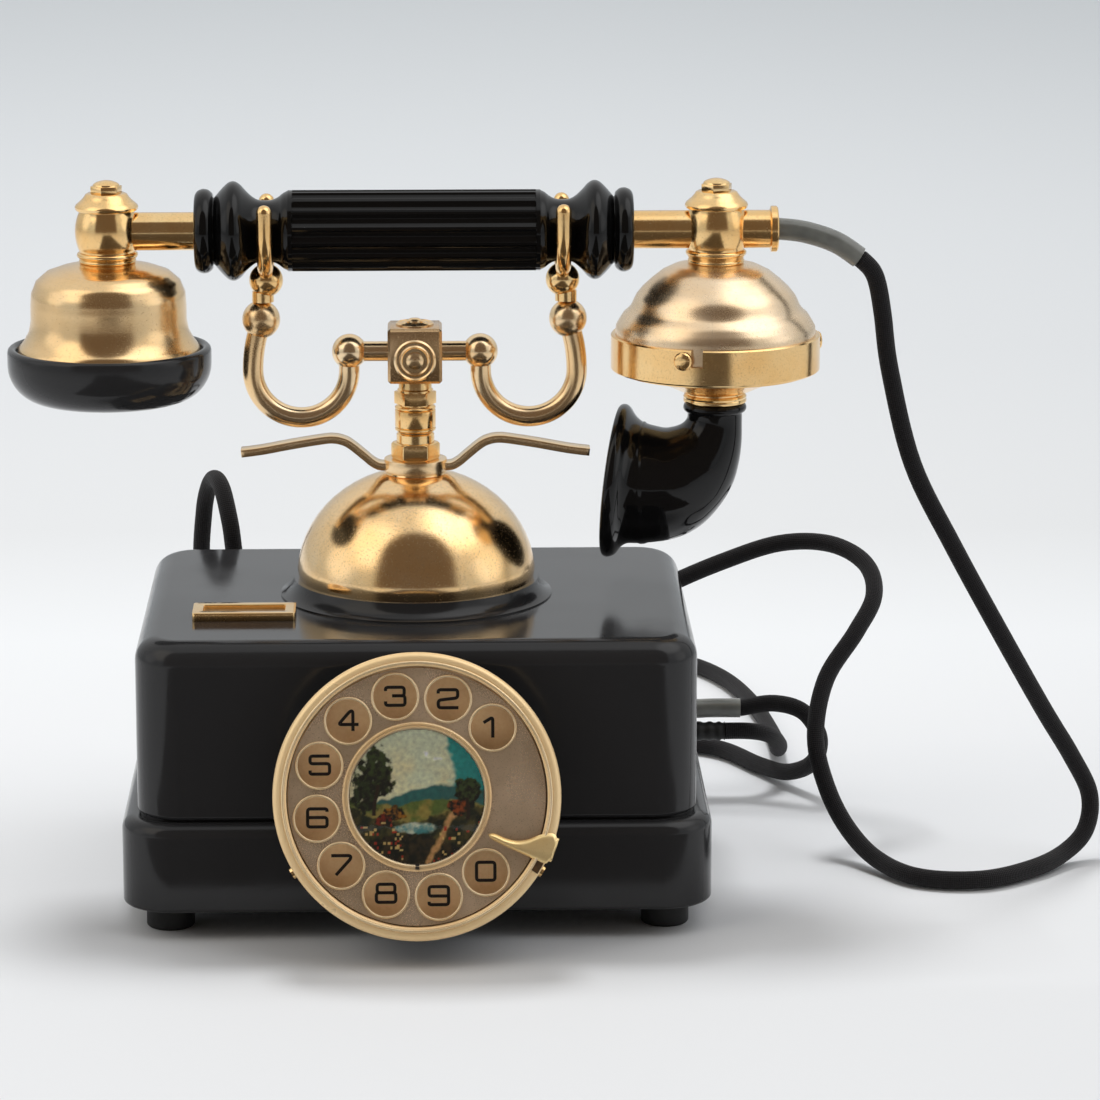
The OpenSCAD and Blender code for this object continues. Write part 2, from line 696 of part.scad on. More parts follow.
module u_arms() {
    half = block_w / 2;
    color(gold) placed() mirrored_x() {
        translate([half, 0, arm_z]) rotate([0, 90, 0]) cylinder(r = arm_bar_r, h = inner_ball_x - half, $fn = 48);
        translate([half - 4, 0, arm_z]) rotate([0, 90, 0]) cylinder(r = 2, h = 5, $fn = 48);
        translate([inner_ball_x, 0, arm_z]) sphere(r = inner_ball_r, $fn = 64);
        translate([bend_x - bend_r, 0, bend_z]) cylinder(r = arm_tube_r, h = arm_z - bend_z, $fn = 48);
        translate([bend_x, 0, bend_z]) rotate([90, 0, 0]) rotate_extrude(angle = -180, $fn = 72)
            translate([bend_r, 0]) circle(r = arm_tube_r, $fn = 48);
        translate([bend_x + bend_r - leg_r, 0, bend_z]) rotate([90, 0, 0]) rotate_extrude(angle = leg_angle, $fn = 96)
            translate([leg_r, 0]) circle(r = arm_tube_r, $fn = 48);
        translate([outer_ball_x, 0, outer_ball_z]) sphere(r = outer_ball_r, $fn = 64);
    }
}

module forks() {
    seat_z = outer_ball_z + outer_ball_r - 0.3;
    color(gold) placed() mirrored_x() difference() {
        union() {
            translate([44.6, 0, seat_z]) cylinder(r = 3.2, h = 3, $fn = 48);
            translate([fork_x, 0, 181.4]) sphere(r = 5, $fn = 64);
            translate([fork_x, 0, handset_z]) rotate([90, 0, 90]) rotate_extrude(angle = -180, $fn = 72)
                translate([prong_y, 0]) circle(r = prong_r, $fn = 40);
            for (s = [-1, 1]) translate([fork_x, s * prong_y, handset_z]) {
                cylinder(r = prong_r, h = fork_top - prong_r - handset_z, $fn = 40);
                translate([0, 0, fork_top - prong_r - handset_z]) sphere(r = prong_r, $fn = 40);
            }
        }
        translate([fork_x, 0, handset_z]) rotate([0, 90, 0]) cylinder(r = grip_neck_r + 0.4, h = 16, center = true, $fn = 96);
        translate([outer_ball_x, 0, outer_ball_z]) sphere(r = outer_ball_r, $fn = 64);
    }
}

// ---- handset ----
module grip() {
    half_outline = [
        [11.7, 37.4], [11, 38.6], [10.1, 39.6], [9.3, 41], [grip_neck_r, 42.4], [grip_neck_r, 45], [9.4, 46.4],
        [10.4, 47.8], [12, 49.4], [13.5, 50.8], [14.4, 52], [14.6, 53.1], [14.2, 54.4], [13, 55.8],
        [11.6, 57.1], [10.3, 58.2], [9.8, 58.7], [11.4, 59.4], [12.1, 60.3], [12.4, 61.6], [12.1, 63],
        [11.3, 63.8], [10, grip_end], [tube_r, grip_end]
    ];
    back_outline = [for (i = [len(half_outline) - 1:-1:0]) [half_outline[i].x, -half_outline[i].y]];
    color(black) along_handset() difference() {
        union() {
            turned(concat(back_outline, half_outline));
            difference() {
                translate([0, 0, -37]) cylinder(r = grip_r, h = 74, $fn = 96);
                for (a = [0:22.5:337.5]) rotate([0, 0, a]) translate([grip_r + 1.4, 0, -35.5]) cylinder(r = 2.5, h = 71, $fn = 32);
            }
        }
        translate([0, 0, -grip_end - 1]) cylinder(r = tube_r, h = 2 * grip_end + 2, $fn = 64);
    }
}

module handset_tube() {
    color(gold) along_handset() difference() {
        union() {
            translate([0, 0, ear_x + 5]) cylinder(r = tube_r, h = tube_end - 3 - ear_x - 5, $fn = 64);
            translate([0, 0, tube_end - 3]) turned([[0, 0], [tube_r, 0], [tube_r, 0.6], [6.8, 1], [6.8, 2.6], [6.4, 3], [0, 3]]);
        }
        translate([0, 0, ear_x]) cylinder(r = 4.2, h = tube_end - ear_x - 5, $fn = 64);
        translate([0, 0, tube_end - 6]) cylinder(r = sleeve_r, h = 8, $fn = 48);
    }
}

module joint_ball(x, collar_low) {
    translate([x, 0, handset_z]) difference() {
        union() {
            turned(concat([[0, -6], [8.1, -6]], arc_points([ball_r - 14, 0], 14, -25, 25, 12), [[8.1, 6.4], [0, 6.4]]));
            turned(concat(
                [[0, collar_low], [7.8, collar_low]], arc_points([7.7, collar_low + 0.7], 0.7, -60, 60, 5),
                arc_points([8.2, -6.8], 0.8, -70, 80, 5), [[8.1, -6], [0, -6]]
            ));
        }
        rotate([0, 90, 0]) translate([0, 0, x < 0 ? -5 : -20]) cylinder(r = tube_r, h = 40, $fn = 64);
    }
}

module joint_balls() {
    color(gold) placed() {
        joint_ball(ear_x, -9.2);
        joint_ball(mic_x, -10);
    }
}

module joint_caps() {
    outline = [
        [0, 0], [8.9, 0], [9.2, 0.4], [9.3, 1], [9, 1.6], [8.2, 2.3], [7.3, 3.1], [6.6, 3.9], [6.1, 4.7], [5.5, cap_h],
        [0, cap_h]
    ];
    color(gold) placed() for (x = [ear_x, mic_x]) translate([x, 0, cap_z]) turned(outline);
}

module acorn_nuts() {
    color(gold) placed() for (x = [ear_x, mic_x]) translate([x, 0, cap_z + cap_h]) rotate([0, 0, 15]) {
        cylinder(r = 4.7, h = 2.1, $fn = 6);
        turned([[0, 1], [4, 2], [3.8, 2.6], [3.1, 3.1], [2, 3.5], [1, 3.7], [0, 3.8]]);
    }
}

module receiver_bell() {
    color(gold) placed() translate([ear_x, 0, 0]) turned([
        [0, 186.8], [8.4, 186.8], [10, 186.4], [14, 185.5], [18.2, 184], [21.2, 181.4], [22.6, 178], [22.9, 174], [22.9, 169.8],
        [23.5, 166.6], [25, 163.8], [26.6, 161.8], [26.8, 160.8], [26.4, 160], [25.2, 160], [24, 162.4],
        [22, 165.8], [21.4, 169.8], [21.4, 174], [21.2, 177.4], [20, 180.4], [17.6, 182.6], [14, 184], [0, 184.4]
    ]);
}

module ear_cup() {
    r = ear_cup_r;
    color(black) placed() translate([ear_x, 0, 0]) difference() {
        turned(concat(
            [[0, 147.4], [6, 147.2], [16, 146.4]],
            arc_points([r - 11, 156.8], 11, -85, 0, 10),
            [[r, 158]], arc_points([r - 1.4, 160.6], 1.4, 0, 180, 6),
            [[r - 3, 160], [23.5, 160], [23.5, 149], [0, 149]]
        ));
        for (a = [0:60:300]) rotate([0, 0, a]) translate([4.4, 0, 143]) cylinder(r = 0.9, h = 8, $fn = 24);
        translate([0, 0, 143]) cylinder(r = 1, h = 8, $fn = 24);
    }
}

module capsules() {
    color("silver") placed() {
        translate([ear_x, 0, 149]) cylinder(r = 22, h = 9, $fn = 64);
        translate([mic_x, 0, 154.4]) cylinder(r = 22, h = 8, $fn = 64);
    }
}

module transmitter_dome() {
    color(gold) placed() translate([mic_x, 0, 0]) turned([
        [0, 186], [9.2, 186], [12.5, 185.3], [16, 183.6], [19, 181.2], [21.6, 178.8], [23.4, 176.6], [24.4, 174.6],
        [25, 173.2], [26, 172], [27.2, 171], [28, 169.8], [28.7, 168.6], [29.4, 167.4], [29.6, 165.8],
        [29.6, 154.4], [28.2, 154.4], [28.2, 165.4], [27.4, 167.8], [26.6, 169.2], [25.8, 170.2], [24.8, 171],
        [23.8, 172.4], [23, 174], [22, 176], [20.4, 177.9], [18, 180.1], [15.2, 182.3], [12.2, 183.9], [0, 184.4]
    ]);
}

pin_angles = [-111, 9, 129];

module bayonet_ring() {
    color(gold) placed() translate([mic_x, 0, 0]) difference() {
        translate([0, 0, 154.4]) turned([
            [29.6, 0], [bayonet_r - 0.4, 0], [bayonet_r, 0.4], [bayonet_r, 10.2], [bayonet_r - 0.4, 10.6], [29.6, 10.6]
        ]);
        for (a = pin_angles) rotate([0, 0, a]) translate([28.5, 0, 161.8]) rotate([0, 90, 0])
            cylinder(r = 1.2, h = 4, $fn = 32);
        for (a = pin_angles) rotate([0, 0, a + 7.6]) translate([29, -1.7, 160]) cube([4, 3.4, 6]);
    }
}

module bayonet_pins() {
    color(gold) placed() translate([mic_x, 0, 161.8]) for (a = pin_angles) rotate([0, 0, a]) rotate([0, 90, 0]) {
        translate([0, 0, 29.6]) cylinder(r = 1.2, h = bayonet_r - 29.6, $fn = 32);
        translate([0, 0, bayonet_r]) turned([[0, 0], [2.7, 0], [2.7, 0.5], [2.3, 1], [1.4, 1.3], [0, 1.4]]);
    }
}

module transmitter_plate() {
    color(gold) placed() translate([mic_x, 0, 0]) difference() {
        turned([
            [0, 154.4], [28.2, 154.4], [28.2, 153.6], [23, 152.7], [18, 151.2], [14, 149.6], [10.6, 148], [9, 147.4],
            [8.5, 147.2], [8.5, 146.9], [9.1, 146.7], [9.4, 146.2], [9.2, 145.7], [9.4, 145.2], [9.3, 144.6],
            [8.8, horn_top], [0, horn_top]
        ]);
        translate([0, 0, 140]) cylinder(r = horn_r0 - horn_wall, h = 16, $fn = 64);
    }
}

// Horn: a flared elbow. Each pair is a point of its inner bend and the point of its outer bend across from it,
// given as [distance from the microphone's axis, height]
horn_pairs = [
    [[-8.1, 141], [8.1, 141]], [[-8.1, 139.9], [8.1, 137.6]], [[-8.5, 138.9], [8.1, 133.5]],
    [[-9.3, 137.9], [7.8, 129.3]], [[-10.3, 137.2], [7.1, 125]], [[-11.6, 136.6], [6, 120.8]],
    [[-13, 136.2], [4.1, 116.6]], [[-14.5, 135.9], [1.3, 112.3]], [[-16, 135.9], [-2.6, 107.9]],
    [[-17.6, 136.2], [-7.4, 104.5]], [[-19, 136.5], [-13, 102.4]], [[-20.4, 136.9], [-18.2, 101.5]],
    [[-21.7, 137.4], [-22.5, 101.1]], [[-23, 138.3], [-25.5, 101]], [[-24.2, 139.6], [-27.6, 99.9]],
    [[-25.7, 141.8], [-29.4, 97.6]], [[-27.1, 142.6], [-31.5, 96.8]], [[-28.5, 142.2], [-32.9, 97.3]],
    [[-29, 141], [-33.3, 98.5]]
];
horn_bead = [[144.2, 8.6], [143.8, 9.1], [143.2, 9.4], [142.4, 9.4], [141.8, 9.1], [141.4, 8.3]];

// One station of the horn: [centre, direction from the outer bend to the inner one, radius]
function horn_station(pair) = let (across = pair[0] - pair[1])
    [[mic_x + (pair[0].x + pair[1].x) / 2, 0, (pair[0].y + pair[1].y) / 2],
     [across.x, 0, across.y] / norm(across), norm(across) / 2];
horn_stations = concat(
    [for (b = horn_bead) [[mic_x, 0, b.x], [-1, 0, 0], b.y]],
    [for (pair = horn_pairs) horn_station(pair)]
);

module horn() {
    n = 32;
    outer = horn_stations;
    beads = len(horn_bead);
    count = len(outer);
    loops = concat(
        outer,
        [for (i = [count - 1:-1:0]) let (s = outer[i]) [s[0], s[1], (i < beads ? horn_r0 : s[2]) - horn_wall]]
    );
    last = len(loops);
    points = [for (s = loops) each ring_at(s[0], [0, 1, 0], s[1], s[2], n)];
    color(black) placed() translate([mic_x, 0, 0]) rotate([0, 0, -horn_turn]) translate([-mic_x, 0, 0])
        polyhedron(points, skin(last, n, last), convexity = 6);
}

module clear_sleeve() {
    start = [tube_end - 6, 0, handset_z];
    color([0.75, 0.75, 0.72]) placed() swept(
        [start, [tube_end, 0, handset_z], [115, 0, 195], [124, 0, 192], sleeve_end], sleeve_r, 16);
}

// ---- cords ----
module handset_cord() { color([0.10, 0.10, 0.11]) placed() swept(smooth(handset_route, 2), cord_r, 8); }

module line_cord() {
    color([0.10, 0.10, 0.11]) placed() {
        swept(smooth(line_route, 2), cord_r, 8);
        swept(smooth(tail_route, 2), cord_r, 8);
    }
}

module cord_sleeve() { color([0.5, 0.5, 0.5]) placed() swept(smooth(sleeve_route, 2), sleeve_r - 0.2, 12); }

module line_boot() { color(black) placed() swept(smooth(boot_route, 2), 3.7, 12); }

module line_coil() {
    color([0.10, 0.10, 0.11]) placed() translate([coil_centre.x, coil_centre.y, 0])
        ring(coil_out_r, coil_in_r, coil_h);
}

module coil_tie() {
    color([0.2, 0.2, 0.2]) placed() translate([coil_centre.x, coil_centre.y, 0]) rotate([0, 0, 100])
        translate([coil_in_r - 1.6, -3, 0]) difference() {
            cube([coil_out_r - coil_in_r + 3.2, 6, coil_h + 1.6]);
            translate([1.6, -1, -1]) cube([coil_out_r - coil_in_r, 8, coil_h + 1]);
        }
}

module line_plug() {
    color([0.85, 0.85, 0.82]) placed() translate(plug_at) rotate([0, 0, 45]) {
        translate([-6, -8, 0]) cube([12, 22, 8]);
        translate([-4, 14, 1.5]) cube([8, 5, 5]);
    }
}

base_plinth();
base_plate();
base_feet();
case_screws();
upper_housing();
dome_collar();
dome_bell();
rest_arms();
column_nuts();
column_guide();
card_frame();
card_strip();
dial_cup();
dial_bezel();
dial_screws();
number_plate();
finger_stop();
dial_frame();
ringer_gongs();
ringer_coils();
ringer_frame();
circuit_board();
board_parts();
hook_switch();
contact_springs();
return_spring();
handset_cord();
line_cord();
line_coil();
coil_tie();
line_plug();
line_boot();
cord_sleeve();
finger_wheel();
medallion_ring();
medallion_disc();
medallion_lens();
dial_gear();
governor_pinion();
clapper();
plunger();
barrel();
cradle_block();
block_rosettes();
u_arms();
forks();
grip();
handset_tube();
joint_balls();
joint_caps();
acorn_nuts();
receiver_bell();
ear_cup();
transmitter_dome();
bayonet_ring();
bayonet_pins();
transmitter_plate();
horn();
capsules();
clear_sleeve();
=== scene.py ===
"""Looks of the cradle telephone round its CAD frame: camera, cords, materials, printed dial, light.

Lengths in the helpers are millimetres in the telephone's own frame, whose Z axis is the column;
at() turns them into metres in the row frame.
"""
import math

import bpy
from mathutils import Matrix, Vector, noise


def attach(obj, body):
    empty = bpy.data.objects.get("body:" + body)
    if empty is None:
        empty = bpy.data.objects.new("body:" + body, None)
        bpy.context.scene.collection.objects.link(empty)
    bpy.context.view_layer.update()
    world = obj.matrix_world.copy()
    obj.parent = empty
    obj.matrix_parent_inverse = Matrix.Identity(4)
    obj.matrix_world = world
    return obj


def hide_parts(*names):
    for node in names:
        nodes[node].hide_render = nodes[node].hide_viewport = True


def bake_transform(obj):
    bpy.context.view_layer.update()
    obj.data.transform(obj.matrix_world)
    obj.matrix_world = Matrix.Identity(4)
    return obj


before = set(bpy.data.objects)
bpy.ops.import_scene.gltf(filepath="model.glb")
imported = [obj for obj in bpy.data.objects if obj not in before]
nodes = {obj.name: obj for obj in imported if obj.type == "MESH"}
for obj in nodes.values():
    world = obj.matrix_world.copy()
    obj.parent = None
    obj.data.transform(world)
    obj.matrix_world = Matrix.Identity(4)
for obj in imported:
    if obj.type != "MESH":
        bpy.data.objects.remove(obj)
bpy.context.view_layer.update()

SHIFT = Vector((-0.45, 15.262, 0))  # from the column's axis to the row frame's origin, in mm


def at(x, y, z):
    """A point in mm in the telephone's own frame, in metres in the row frame."""
    return (Vector((x, y, z)) + SHIFT) / 1000


# ---------------------------------------------------------------- camera
lens = bpy.data.cameras.new("camera")
lens.sensor_width = 36
lens.lens = 154.95
lens.clip_end = 100
camera = bpy.data.objects.new("camera", lens)
camera.location = at(3.36, -1377.26, 410.51)
camera.rotation_euler = (math.radians(90 - 12.72), 0, math.radians(-1.52))
bpy.context.scene.collection.objects.link(camera)
bpy.context.scene.camera = camera
bpy.context.scene.view_settings.view_transform = "Standard"


# ---------------------------------------------------------------- node helpers
class Shader:
    """A material with a Principled shader, and short calls that add nodes to it."""

    def __init__(self, name, color, metallic, roughness):
        self.material = bpy.data.materials.new(name)
        self.material.use_nodes = True
        self.nodes = self.material.node_tree.nodes
        self.links = self.material.node_tree.links
        self.bsdf = self.nodes["Principled BSDF"]
        self.set("Base Color", (*color, 1))
        self.set("Metallic", metallic)
        self.set("Roughness", roughness)
        self.coords = self.nodes.new("ShaderNodeTexCoord")

    def set(self, socket, value):
        self.bsdf.inputs[socket].default_value = value

    def link(self, out, socket):
        self.links.new(out, self.bsdf.inputs[socket])

    def put(self, target, value):
        if isinstance(value, bpy.types.NodeSocket):
            self.links.new(value, target)
        else:
            target.default_value = value

    def stretched_uv(self, scale):
        mapping = self.nodes.new("ShaderNodeMapping")
        mapping.inputs["Scale"].default_value = scale
        self.links.new(self.coords.outputs["UV"], mapping.inputs["Vector"])
        return mapping.outputs["Vector"]

    def noise(self, scale, detail, roughness=0.5):
        node = self.nodes.new("ShaderNodeTexNoise")
        node.inputs["Scale"].default_value = scale
        node.inputs["Detail"].default_value = detail
        node.inputs["Roughness"].default_value = roughness
        self.links.new(self.coords.outputs["Object"], node.inputs["Vector"])
        return node.outputs["Fac"]

    def cells(self, scale):
        node = self.nodes.new("ShaderNodeTexVoronoi")
        node.inputs["Scale"].default_value = scale
        self.links.new(self.coords.outputs["Object"], node.inputs["Vector"])
        return node.outputs["Distance"]

    def spread(self, value, low, high, to_low, to_high):
        node = self.nodes.new("ShaderNodeMapRange")
        node.clamp = True
        self.put(node.inputs["Value"], value)
        numbers = {"From Min": low, "From Max": high, "To Min": to_low, "To Max": to_high}
        for socket, number in numbers.items():
            node.inputs[socket].default_value = number
        return node.outputs["Result"]

    def math(self, operation, a, b=0.0):
        node = self.nodes.new("ShaderNodeMath")
        node.operation = operation
        self.put(node.inputs[0], a)
        self.put(node.inputs[1], b)
        return node.outputs["Value"]

    def mixed(self, fac, a, b):
        node = self.nodes.new("ShaderNodeMix")
        node.data_type = "RGBA"
        self.put(node.inputs["Factor"], fac)
        self.put(node.inputs["A"], (*a, 1) if isinstance(a, tuple) else a)
        self.put(node.inputs["B"], (*b, 1) if isinstance(b, tuple) else b)
        return node.outputs["Result"]

    def bump(self, height, strength, distance, under=None):
        node = self.nodes.new("ShaderNodeBump")
        node.inputs["Strength"].default_value = strength
        node.inputs["Distance"].default_value = distance
        self.links.new(height, node.inputs["Height"])
        if under is not None:
            self.links.new(under, node.inputs["Normal"])
        return node.outputs["Normal"]


def lacquer(name, tone=0.022, rough=0.13, dust=0.35):
    """Gloss black with a faint orange peel, handling smears and a little dust."""
    black, speck = (tone, tone, tone * 1.05), (0.10, 0.10, 0.10)
    s = Shader(name, black, 0, rough)
    s.set("Specular IOR Level", 0.3)
    smear = s.noise(38, 4, 0.6)
    s.link(s.spread(smear, 0.35, 0.7, rough * 0.75, rough * 1.5), "Roughness")
    specks = s.spread(s.cells(900), 0.0, 0.09, dust, 0.0)
    patchy = s.math("MULTIPLY", specks, s.spread(s.noise(60, 2), 0.45, 0.62, 0, 1))
    s.link(s.mixed(patchy, black, speck), "Base Color")
    s.link(s.bump(s.noise(700, 2), 0.05, 0.0002), "Normal")
    return s.material


def gilt(name, light=(0.97, 0.69, 0.34), deep=(0.94, 0.58, 0.23), rough=0.15, pits=0.5, grain=0.1,
         metallic=1.0, fine=1800):
    """Gold plating: cloudy tone, tiny pits in the polish, and smears that change the gloss."""
    s = Shader(name, light, metallic, rough)
    cloud = s.noise(55, 4, 0.6)
    pit = s.spread(s.noise(fine, 2, 0.7), 0.56, 0.74, 0, pits)
    tone = s.mixed(s.spread(cloud, 0.35, 0.68, 0, 1), light, deep)
    s.link(s.mixed(pit, tone, (0.36, 0.24, 0.13)), "Base Color")
    smear = s.spread(s.noise(26, 5, 0.62), 0.36, 0.7, rough * 0.8, rough * 1.35)
    s.link(s.math("ADD", smear, s.math("MULTIPLY", pit, 0.3)), "Roughness")
    s.link(s.bump(s.noise(2600, 3, 0.7), grain, 0.0001), "Normal")
    return s.material


def plain(name, color, second, scale, rough, metallic=0.0, bump=0.15):
    """A base for moulded plastic, rubber, plated steel: two close tones in a grain, and its bump."""
    s = Shader(name, color, metallic, rough)
    grain = s.noise(scale, 4, 0.6)
    s.link(s.mixed(s.spread(grain, 0.35, 0.65, 0, 1), color, second), "Base Color")
    s.link(s.spread(s.noise(scale / 6, 3), 0.3, 0.7, rough * 0.8, rough * 1.25), "Roughness")
    s.link(s.bump(grain, bump, 0.0002), "Normal")
    return s.material


def braid(name, around, along):
    """Braided cotton over the tube's own UVs: u once round, v in metres along."""
    s = Shader(name, (0.012, 0.011, 0.012), 0, 0.8)
    uv = s.stretched_uv((around, along, 1))
    split = s.nodes.new("ShaderNodeSeparateXYZ")
    s.links.new(uv, split.inputs["Vector"])
    u, v = split.outputs["X"], split.outputs["Y"]
    left = s.math("SINE", s.math("MULTIPLY", s.math("ADD", u, v), math.tau))
    right = s.math("SINE", s.math("MULTIPLY", s.math("SUBTRACT", u, v), math.tau))
    weave = s.math("MULTIPLY", left, right)
    fibre = s.noise(5200, 2, 0.7)
    s.link(s.mixed(s.spread(weave, -0.9, 0.9, 0, 1), (0.005, 0.0045, 0.005), (0.017, 0.0155, 0.017)),
           "Base Color")
    s.set("Sheen Weight", 0.12)
    s.set("Sheen Roughness", 0.4)
    s.set("Specular IOR Level", 0.25)
    s.link(s.bump(fibre, 0.35, 0.0002, s.bump(weave, 0.45, 0.0003)), "Normal")
    return s.material


def vinyl():
    """Clouded grey vinyl that lets a little of the cord show through."""
    s = Shader("sleeve_vinyl", (0.27, 0.28, 0.255), 0, 0.13)
    haze = s.spread(s.noise(90, 3, 0.5), 0.35, 0.65, 0, 1)
    s.link(s.mixed(haze, (0.16, 0.165, 0.15), (0.25, 0.255, 0.235)), "Base Color")
    s.link(s.spread(haze, 0, 1, 0.76, 0.86), "Alpha")
    s.link(s.bump(s.noise(120, 2), 0.06, 0.0003), "Normal")
    return s.material


def clear_lens():
    """Clear plastic with a hardly uneven surface."""
    s = Shader("lens", (1, 1, 1), 0, 0.015)
    s.set("Transmission Weight", 1.0)
    s.set("IOR", 1.45)
    s.link(s.bump(s.noise(200, 2), 0.01, 0.0001), "Normal")
    return s.material


GOLD = gilt("gold")
GOLD_DOME = gilt("gold_dome", (0.97, 0.71, 0.41), (0.94, 0.61, 0.27), 0.13, 0.7, 0.16)
GOLD_BELL = gilt("gold_bell", (0.90, 0.65, 0.36), (0.87, 0.58, 0.28), 0.2, 0.4, 0.10)
GOLD_ARM = gilt("gold_arm", (0.95, 0.73, 0.46), (0.92, 0.64, 0.34), 0.22, 0.1, 0.06)
GOLD_BLOCK = gilt("gold_block", (0.77, 0.53, 0.30), (0.67, 0.44, 0.22), 0.24, 0.25, 0.1)
GOLD_CAPSULE = gilt("gold_capsule", (0.94, 0.75, 0.53), (0.91, 0.67, 0.41), 0.27, 0.35, 0.10)
# a brighter, partly diffuse copy of the gold for the rims, lip and medallion ring: partly painted highlight, so their
# edges read as bright lines
GOLD_RIM = gilt("gold_rim", (0.98, 0.78, 0.50), (0.93, 0.70, 0.40), 0.20, 0.2, 0.1, 0.55)
GOLD_STOP = gilt("gold_stop", (1.0, 0.76, 0.38), (0.95, 0.66, 0.27), 0.18, 0.2, 0.1, 0.6)
GOLD_BEZEL = gilt("gold_bezel", (1.0, 0.74, 0.40), (1.0, 0.71, 0.37), 0.34, 0.0, 0.15, 0.28)
# the wheel's two tones lie far apart, and the cloudy noise spreads them as painted reflection: patches of sheen and
# shade across the flat wheel
GOLD_WHEEL_PAINTED_SHEEN = gilt("gold_wheel_painted_sheen", (0.78, 0.60, 0.42), (0.54, 0.41, 0.27), 0.28, 0.9, 0.3, 0.7, 2600)
GOLD_PLATE = plain("gold_plate", (1.0, 0.70, 0.38), (0.94, 0.63, 0.32), 900, 0.5, 0.2, 0.2)
GOLD_CARD = plain("gold_card", (0.55, 0.38, 0.20), (0.48, 0.32, 0.16), 1200, 0.45, 0.6)
BLACK = lacquer("black_lacquer")
BLACK_GRIP = lacquer("black_grip", 0.0028, 0.09, 0.12)
BLACK_HORN = lacquer("black_horn", 0.005, 0.08, 0.12)
RUBBER = plain("rubber", (0.003, 0.003, 0.003), (0.006, 0.006, 0.006), 800, 0.6)
ZINC = plain("zinc", (0.55, 0.56, 0.57), (0.45, 0.46, 0.48), 500, 0.35, 1.0)
BRASS = plain("brass", (0.72, 0.50, 0.22), (0.62, 0.41, 0.17), 300, 0.28, 1.0)
COPPER = plain("copper_winding", (0.32, 0.10, 0.04), (0.22, 0.06, 0.03), 1500, 0.35)
BOARD = plain("board", (0.03, 0.14, 0.06), (0.02, 0.10, 0.045), 400, 0.4)
PART = plain("moulded_blue", (0.02, 0.04, 0.16), (0.03, 0.05, 0.2), 500, 0.4)
BROWN = plain("phenolic", (0.16, 0.06, 0.02), (0.12, 0.045, 0.018), 260, 0.35)
SLOT = plain("slot_shadow", (0.05, 0.022, 0.005), (0.12, 0.055, 0.012), 700, 0.5)
INK = plain("ink", (0.012, 0.010, 0.010), (0.020, 0.017, 0.016), 2500, 0.5)
PLUG = plain("plug_cream", (0.62, 0.58, 0.48), (0.58, 0.54, 0.44), 600, 0.4)
TIE = plain("tie_black", (0.012, 0.012, 0.013), (0.02, 0.02, 0.02), 1500, 0.6)
BRAID = braid("cord_braid", 14, 820)
SLEEVE = vinyl()
LENS = clear_lens()


# ---------------------------------------------------------------- geometry helpers
CRISP_FROM = math.radians(32)
BEVEL_FROM = math.radians(40)


def smooth_by_angle():
    """Node group that shades smooth and keeps the sharper edges crisp."""
    group = bpy.data.node_groups.new("smooth_by_angle", "GeometryNodeTree")
    group.interface.new_socket("Geometry", in_out="INPUT", socket_type="NodeSocketGeometry")
    group.interface.new_socket("Geometry", in_out="OUTPUT", socket_type="NodeSocketGeometry")
    source = group.nodes.new("NodeGroupInput")
    result = group.nodes.new("NodeGroupOutput")
    faces = group.nodes.new("GeometryNodeSetShadeSmooth")
    edges = group.nodes.new("GeometryNodeSetShadeSmooth")
    edges.domain = "EDGE"
    angle = group.nodes.new("GeometryNodeInputMeshEdgeAngle")
    soft = group.nodes.new("FunctionNodeCompare")
    soft.operation = "LESS_THAN"
    soft.inputs["B"].default_value = CRISP_FROM
    group.links.new(angle.outputs["Unsigned Angle"], soft.inputs["A"])
    group.links.new(source.outputs[0], faces.inputs["Geometry"])
    group.links.new(faces.outputs["Geometry"], edges.inputs["Geometry"])
    group.links.new(soft.outputs["Result"], edges.inputs["Shade Smooth"])
    group.links.new(edges.outputs["Geometry"], result.inputs[0])
    return group


SMOOTH = smooth_by_angle()


def dress(name, material, bevel=0.0):
    """Gives a CAD node its material, welded seams, softened edges in mm and smooth shading."""
    piece = nodes[name]
    piece.data.materials.clear()
    piece.data.materials.append(material)
    if "custom_normal" in piece.data.attributes:
        piece.data.attributes.remove(piece.data.attributes["custom_normal"])
    weld = piece.modifiers.new("weld", "WELD")
    weld.merge_threshold = 2e-6
    if bevel:
        edge = piece.modifiers.new("edge", "BEVEL")
        edge.width = bevel / 1000
        edge.segments = 2
        edge.limit_method = "ANGLE"
        edge.angle_limit = BEVEL_FROM
    shade = piece.modifiers.new("shade", "NODES")
    shade.node_group = SMOOTH


def build(name, points, faces, material, body, crisp, uvs=None):
    """A mesh piece from points in the row frame, riding on a body, crisp past that many degrees."""
    mesh = bpy.data.meshes.new(name)
    mesh.from_pydata([tuple(p) for p in points], [], faces)
    mesh.materials.append(material)
    if uvs:
        layer = mesh.uv_layers.new(name="tube")
        for loop in mesh.loops:
            layer.data[loop.index].uv = uvs[loop.index]
    mesh.validate()
    mesh.shade_smooth()
    if crisp:
        mesh.set_sharp_from_angle(angle=math.radians(crisp))
    piece = bpy.data.objects.new(name, mesh)
    bpy.context.scene.collection.objects.link(piece)
    if body:
        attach(piece, body)
    return piece


def curve_through(points, steps):
    """Catmull-Rom line through the points, with that many steps between two of them."""
    p = [Vector(q) for q in points]
    line = []
    for i in range(len(p) - 1):
        a, b, c, d = p[max(i - 1, 0)], p[i], p[i + 1], p[min(i + 2, len(p) - 1)]
        for k in range(steps):
            t = k / steps
            line.append(0.5 * (2 * b + (c - a) * t + (2 * a - 5 * b + 4 * c - d) * t ** 2
                               + (3 * b - a - 3 * c + d) * t ** 3))
    line.append(p[-1])
    return line


